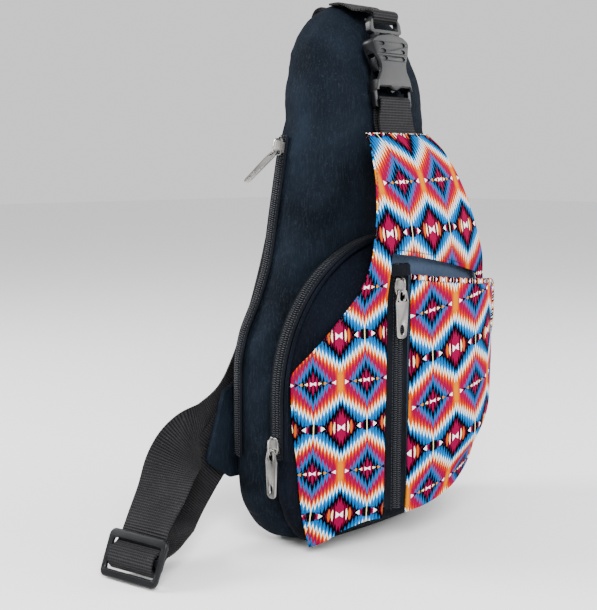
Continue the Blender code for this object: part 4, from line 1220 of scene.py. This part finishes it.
def top_stations():
    x = 1.0
    return [
        ((x, 28.0, 387.6), (0, 0.1, 1), 1.0), ((x, 16.0, 387.0), (0, -0.30, 1), 1.0),
        ((x, 5.0, 381.8), (0, -0.55, 1), 0.92), (at_buckle(68.6, -4.6), (0, -0.6, 1), 0.74),
        (at_buckle(67.4, 0.0), (0, -0.5, 1), 0.66), (at_buckle(65.0, 3.5), (0, -1, 0.4), 0.66),
        (at_buckle(62.0, 3.6), (0, -1, -0.2), 0.66), (at_buckle(59.8, 1.2), (0, -0.4, -1), 0.66),
        (at_buckle(59.7, -2.8), (0, 0.3, -1), 0.66), (at_buckle(62.0, -5.4), (0, 0.8, -0.5), 0.70),
    ]


def flap_stations():
    x = 1.0
    return [
        ((x, -35.6, 281.0), (0, -0.8, 0.6)), ((x, -26.0, 293.0), (0, -0.8, 0.6)),
        ((x, -22.6, 302.0), (0, -1, 0.2), 0.96), (at_buckle(-1.0, 3.4), (0, -1, 0.1), 0.84),
        (at_buckle(3.0, 3.4), (0, -1, -0.3), 0.82), (at_buckle(5.0, 0.6), (0, 0, -1), 0.82),
        (at_buckle(3.6, -3.0), (0, 1, -0.3), 0.82), (at_buckle(-1.0, -3.2), (0, 1, 0.1), 0.84),
        ((x, -18.2, 301.0), (0, 1, 0.2), 0.96), ((x, -22.6, 291.0), (0, 0.9, 0.4)),
    ]


def loop_stations():
    return [
        ((-8.0, 36.0, 386.0), (0, 0, 1)), ((-8.0, 42.0, 387.2), (0, 0.3, 1)),
        ((-8.0, 48.0, 385.6), (0, 0.8, 0.6)), ((-8.0, 51.4, 380.5), (0, 1, 0.1)),
        ((-8.0, 50.6, 375.0), (0, 1, -0.4)),
    ]


# User settings
class BackpackSettings(bpy.types.PropertyGroup):
    body_puff: FloatProperty(name="Body puff", description="How far the body's cloth may swell",
                             default=0.0035, min=0.0, max=0.01, unit="LENGTH")
    panel_ruffle: FloatProperty(name="Panel ruffle", description="Height of the soft waves in the panels",
                                default=0.0009, min=0.0, max=0.004, unit="LENGTH")
    floor_colour: FloatVectorProperty(name="Floor colour", description="Colour of the studio floor",
                                      subtype="COLOR", default=(0.90, 0.90, 0.90), min=0.0, max=1.0)
    key_power: FloatProperty(name="Key light", description="Power of the main soft light",
                             default=38.0, min=0.0, max=200.0, unit="POWER")
    grid: IntProperty(name="Cloth grid", description="Columns in the pocket's cloth", default=52,
                      min=16, max=90)


def settings():
    return bpy.context.scene.backpack


class BuildBodies(bpy.types.Operator):
    """Stuffed bodies of the two compartments and the pad on the back"""
    bl_idname = "backpack.bodies"
    bl_label = "Compartments"

    def execute(self, context):
        puff = settings().body_puff / MM
        soft_body("main_body_cloth", "main_compartment", "canvas", 4.5, body_hold, puff, keep=body_keep)
        # the arch compartment takes the darker copy of the canvas, which is painted shade
        soft_body("arch_body_cloth", "middle_compartment", "painted_shade_canvas", 4.5, arch_hold, 1.2, keep=arch_keep)
        quilted_back()
        return {"FINISHED"}


def quilted_back():
    levels, columns = 110, 60
    points, faces = [], []
    for j in range(levels + 1):
        z = between(PAD_LOW, PAD_TOP, j / levels)
        half = max(4.0, min(75.0, body_side(z, MAIN_ZIP_Y) - 22.0))
        for i in range(columns + 1):
            share = 2 * i / columns - 1
            x = half * share
            border = min(1.0, (1 - abs(share)) * 6) * min(1.0, min(j, levels - j) / 6)
            channel = min(abs(((x + z) / 24.0) % 1 - 0.5), abs(((x - z) / 24.0) % 1 - 0.5))
            swell = 1 - math.exp(-(channel * 24.0 / 4.0) ** 2) if channel < 0.5 else 1.0
            y = BACK + GAP + 1.2 + (PAD_THICK - 1.6) * border ** 0.5 * (0.55 + 0.45 * swell)
            points.append((x, y, z))
    width = columns + 1
    for j in range(levels):
        for i in range(columns):
            a = j * width + i
            faces.append((a, a + width, a + width + 1, a + 1))
    mesh = mesh_from("back_pad_cloth", points, faces)
    item = link_mesh("back_pad_cloth", mesh)
    thicken(item, 1.1)
    mesh = finished_mesh(item)
    normals_out(mesh)
    made = add_piece("back_pad_cloth", mesh, "canvas", "bag", ("back_panel",))


class BuildPrint(bpy.types.Operator):
    """Printed front, printed pocket and the lining behind it"""
    bl_idname = "backpack.printed"
    bl_label = "Printed panels"

    def execute(self, context):
        wave = settings().panel_ruffle / MM
        columns_left, rows_low = FRONT_GRID[0], FRONT_GRID[2]
        rows = front_rows(*FRONT_GRID)
        uvs = [[front_repeat(p[0], p[2]) for p in row] for row in rows]
        rows = [[soften(p, wave, 2.0) for p in row] for row in rows]
        cloth_panel("print_front_cloth", rows, uvs, "print", CLOTH_THICK,
                    keep=lambda i, j: not (j < rows_low and i >= columns_left),
                    replaced=("print_front",), flat=FRONT_CUT)
        rows = pocket_rows(settings().grid, POCKET_ROWS)
        uvs = [[pocket_repeat(p[0], p[2]) for p in row] for row in rows]
        rows = [[soften(p, wave * 1.2, 7.0) for p in row] for row in rows]
        cloth_panel("print_pocket_cloth", rows, uvs, "print", CLOTH_THICK, replaced=("print_pocket",),
                    flat=POCKET_CUT)
        rows = lining_rows(40, 50)
        uvs = [[(p[0] * MM, p[2] * MM) for p in row] for row in rows]
        cloth_panel("pocket_lining_cloth", rows, uvs, "lining", 1.0, replaced=("pocket_lining",),
                    flat=LINING_CUT)
        return {"FINISHED"}


# A narrow band of the same print folded over an edge; its pattern is cut small
def printed_hem(name, points, normals, width, shift):
    section = [(-width / 2, 0.0), (-width / 2 + 0.3, -0.5), (width / 2 - 0.3, -0.5), (width / 2, 0.0),
               (width / 2 - 0.4, 0.55), (-width / 2 + 0.4, 0.55)]
    item = sweep(name, points, normals, section, "print", "bag", ())
    for corner in item.data.uv_layers["repeat"].data:
        across, along = corner.uv
        corner.uv = (along / 0.017, shift + across / 0.052)
    return item


class BuildPiping(bpy.types.Operator):
    """Piping of the arched compartment and the sewing along the panels' edges"""
    bl_idname = "backpack.piping"
    bl_label = "Piping and sewing"

    def execute(self, context):
        points, normals = [], []
        for k in range(145):
            (x, z), (nx, nz) = arch_path_point(k / 144)
            points.append((x + nx * 0.2, -(RIM_DEPTH + PIPING_RADIUS + GAP), z + nz * 0.2))
            normals.append((nx, 0, nz))
        # the piping takes the same darker copy of the canvas, which is painted shade
        sweep("arch_piping_cloth", points, normals, round_section(PIPING_RADIUS), "painted_shade_canvas", "bag",
              ("arch_piping",))
        lines = []
        front = front_rows(*FRONT_GRID)
        edge = [row[1] for row in front]
        lines.append(([(x, y - 0.1, z) for x, y, z in edge], [(-0.3, -1, 0)] * len(edge)))
        brow = front[FRONT_GRID[2]][FRONT_GRID[0]:]
        lines.append(([(x, y - 0.2, z + 3.0) for x, y, z in brow], [(0, -1, 0)] * len(brow)))
        # the pocket's hem stops short of its rounded corner
        rim = pocket_rows(settings().grid, POCKET_ROWS)[-1][:-5]
        printed_hem("pocket_hem", [(x, y - 0.3, z - 1.6) for x, y, z in rim],
                    [(0, -1, 0.1)] * len(rim), 3.8, 0.5)
        printed_hem("yoke_top_hem", [(x, y - 0.3, z - 1.6) for x, y, z in front[-1]],
                    [(0, -1, 0.5)] * len(front[-1]), 4.2, 0.47)
        sew("panel_stitches", lines, 3.2, 2.3)
        return {"FINISHED"}


class BuildZips(bpy.types.Operator):
    """Tapes and coils of the three zips, and the metal of their sliders and pullers"""
    bl_idname = "backpack.zips"
    bl_label = "Zips"

    def execute(self, context):
        zip_chain("front_zip_tape", "front_zip_chain", *front_zip_points(), FRONT_ZIP_WIDTH)
        zip_chain("arch_zip_tape", "arch_zip_chain", *arch_zip_points(), SIDE_ZIP_WIDTH)
        zip_chain("main_zip_tape", "main_zip_chain", *main_zip_points(), SIDE_ZIP_WIDTH)
        for name in ("front", "arch", "main"):
            dress(f"{name}_zip_slider", "metal")
            puller_copy(name)
        dress("zip_top_tab", "tape")
        return {"FINISHED"}


# Hinge of each puller on its slider
HINGES = {"front": (-25.927, -55.218, 186.0), "arch": (-109.6, -14.0, 80.0),
          "main": (-68.393, 28.151, 282.174)}
PULLER_SHARE = 0.79


# A puller of the real length, with a raised rim round its sunk face
def puller_copy(name):
    node = name + "_zip_puller"
    pivot = Vector(HINGES[name]) * MM
    shape = bmesh.new()
    shape.from_mesh(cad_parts[node].data)
    bmesh.ops.remove_doubles(shape, verts=shape.verts, dist=0.00001)
    middle = sum((v.co for v in shape.verts), Vector()) / len(shape.verts)
    along = (middle - pivot).normalized()
    for vertex in shape.verts:
        vertex.co -= along * (vertex.co - pivot).dot(along) * (1 - PULLER_SHARE)
    bmesh.ops.dissolve_limit(shape, angle_limit=math.radians(2), verts=shape.verts, edges=shape.edges)
    broad = max(shape.faces, key=lambda f: f.calc_area()).normal.copy()
    for way in (1, -1):
        flat = [f for f in shape.faces if f.normal.dot(broad) * way > 0.97]
        bmesh.ops.inset_region(shape, faces=flat, thickness=0.0010, depth=-0.0004, use_even_offset=False)
    mesh = bpy.data.meshes.new(name + "_pull_tab")
    shape.to_mesh(mesh)
    shape.free()
    item = link_mesh(name + "_pull_tab", mesh)
    round_edges(item, 0.22, 2, 40)
    mesh = finished_mesh(item)
    add_piece(name + "_pull_tab", mesh, "metal", name + "_puller", (node,))
    mesh.set_sharp_from_angle(angle=math.radians(45))


# The buckle is slimmer than its solid and crowned on the front, and waisted behind its wide head
def buckle_shape(place):
    local = BUCKLE.inverted() @ Vector(place)
    local.x *= 0.83
    if local.z > 0:
        crown = 1 - min(1.0, abs(local.x) / 20.0) ** 2
        local.z += 1.9 * crown * ease((local.y - 6.0) / 12.0) * (1 - ease((local.y - 44.0) / 9.0))
    return BUCKLE @ local


# A refined copy of a moulded solid, with rounded edges
def moulded_copy(node, name, body, shape):
    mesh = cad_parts[node].data.copy()
    for vertex in mesh.vertices:
        vertex.co = shape(vertex.co / MM) * MM
    item = link_mesh(name, mesh)
    weld = item.modifiers.new("weld", "WELD")
    weld.merge_threshold = 0.00001
    round_edges(item, 0.45, 3, 38)
    mesh = finished_mesh(item)
    add_piece(name, mesh, "moulded", body, (node,))
    mesh.set_sharp_from_angle(angle=math.radians(50))


# Gives a CAD node its finish
def dress(node, look):
    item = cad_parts[node]
    for slot in item.material_slots:
        slot.material = finish(look)
    if not item.material_slots:
        item.data.materials.append(finish(look))


class BuildWebbing(bpy.types.Operator):
    """Strap, buckle strips, hanging loop and the tab where the strap is sewn in"""
    bl_idname = "backpack.webbing"
    bl_label = "Webbing"

    def execute(self, context):
        strap = strip("strap_cloth", strap_stations(), WEBBING, WEB_THICK, "webbing", None,
                      ("strap_webbing",), 8, 0.25)
        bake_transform(strap)
        top = strip("top_strip_cloth", top_stations(), WEBBING - 1.0, WEB_THICK, "webbing", None,
                    ("top_webbing",), 8)
        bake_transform(top)
        strip("flap_strip_cloth", flap_stations(), WEBBING - 1.0, WEB_THICK, "webbing", "bag",
              ("flap_webbing",), 8)
        strip("hang_loop_cloth", loop_stations(), 10.0, 1.2, "webbing", "bag", ("hang_loop",),
              8)
        dress("strap_wing", "canvas")
        return {"FINISHED"}


class BuildHardware(bpy.types.Operator):
    """Moulded finish of the buckle and the adjuster"""
    bl_idname = "backpack.hardware"
    bl_label = "Buckle and adjuster"

    def execute(self, context):
        moulded_copy("buckle_female", "buckle_shield", "bag", buckle_shape)
        moulded_copy("buckle_male", "buckle_prongs", "buckle_top", buckle_shape)
        moulded_copy("tri_glide", "adjuster_frame", "adjuster", lambda place: place)
        return {"FINISHED"}


CAMERA_PLACE = (-0.5357, -0.5147, 0.2724)
CAMERA_TARGET = (-0.0722, 0.0, 0.1751)


def aim(item, target):
    way = Vector(target) - item.location
    item.rotation_euler = way.to_track_quat("-Z", "Y").to_euler()


def soft_light(name, place, target, power, size):
    light = bpy.data.lights.new(name, "AREA")
    light.shape = "DISK"
    light.energy = power
    light.size = size
    item = bpy.data.objects.new(name, light)
    item.location = place
    bpy.context.scene.collection.objects.link(item)
    aim(item, target)


class BuildStage(bpy.types.Operator):
    """Pale floor, soft studio light and the camera"""
    bl_idname = "backpack.stage"
    bl_label = "Stage"

    def execute(self, context):
        mesh = bpy.data.meshes.new("floor")
        mesh.from_pydata([(-6, -6, 0), (6, -6, 0), (6, 6, 0), (-6, 6, 0)], [], [(0, 1, 2, 3)])
        made, tree, shader = new_material("floor_paper", 0.9)
        cloud = tree.nodes.new("ShaderNodeTexNoise")
        cloud.inputs["Scale"].default_value = 3.0
        tree.links.new(place_of(tree), cloud.inputs["Vector"])
        pale = (*settings().floor_colour, 1.0)
        tree.links.new(ramp(tree, cloud.outputs[0], [(0.0, pale), (1.0, pale)]), shader.inputs["Base Color"])
        mesh.materials.append(made)
        link_mesh("floor", mesh)
        world = bpy.data.worlds.new("studio")
        world.use_nodes = True
        world.node_tree.nodes["Background"].inputs[0].default_value = (1.0, 1.0, 1.0, 1.0)
        world.node_tree.nodes["Background"].inputs[1].default_value = 1.0
        context.scene.world = world
        power = settings().key_power
        target = (-0.03, 0.0, 0.19)
        soft_light("key", (-0.75, -1.0, 1.15), target, power, 0.8)
        soft_light("fill", (0.95, -0.8, 0.6), target, power * 0.45, 0.9)
        soft_light("rim", (-0.9, 0.9, 0.9), target, power * 0.7, 0.6)
        camera_data = bpy.data.cameras.new("camera")
        camera_data.sensor_width = 36.0
        camera_data.lens = 36.0 * 1000.0 / 610.0
        camera = bpy.data.objects.new("camera", camera_data)
        camera.location = CAMERA_PLACE
        bpy.context.scene.collection.objects.link(camera)
        aim(camera, CAMERA_TARGET)
        context.scene.camera = camera
        return {"FINISHED"}


class BackpackPanel(bpy.types.Panel):
    """Buttons that build the backpack piece by piece"""
    bl_label = "Sling backpack"
    bl_idname = "VIEW3D_PT_sling_backpack"
    bl_space_type = "VIEW_3D"
    bl_region_type = "UI"
    bl_category = "Sling backpack"

    def draw(self, context):
        for step in STEPS:
            self.layout.operator(step.bl_idname)
        for name in ("body_puff", "panel_ruffle", "grid", "floor_colour", "key_power"):
            self.layout.prop(context.scene.backpack, name)


STEPS = (BuildBodies, BuildPrint, BuildPiping, BuildZips, BuildWebbing, BuildHardware, BuildStage)


def register():
    for kind in (BackpackSettings, *STEPS, BackpackPanel):
        bpy.utils.register_class(kind)
    bpy.types.Scene.backpack = PointerProperty(type=BackpackSettings)


def unregister():
    del bpy.types.Scene.backpack
    for kind in reversed((BackpackSettings, *STEPS, BackpackPanel)):
        bpy.utils.unregister_class(kind)


def main():
    register()
    bpy.ops.backpack.bodies()
    bpy.ops.backpack.printed()
    bpy.ops.backpack.piping()
    bpy.ops.backpack.zips()
    bpy.ops.backpack.webbing()
    bpy.ops.backpack.hardware()
    bpy.ops.backpack.stage()


if __name__ == "__main__":
    main()
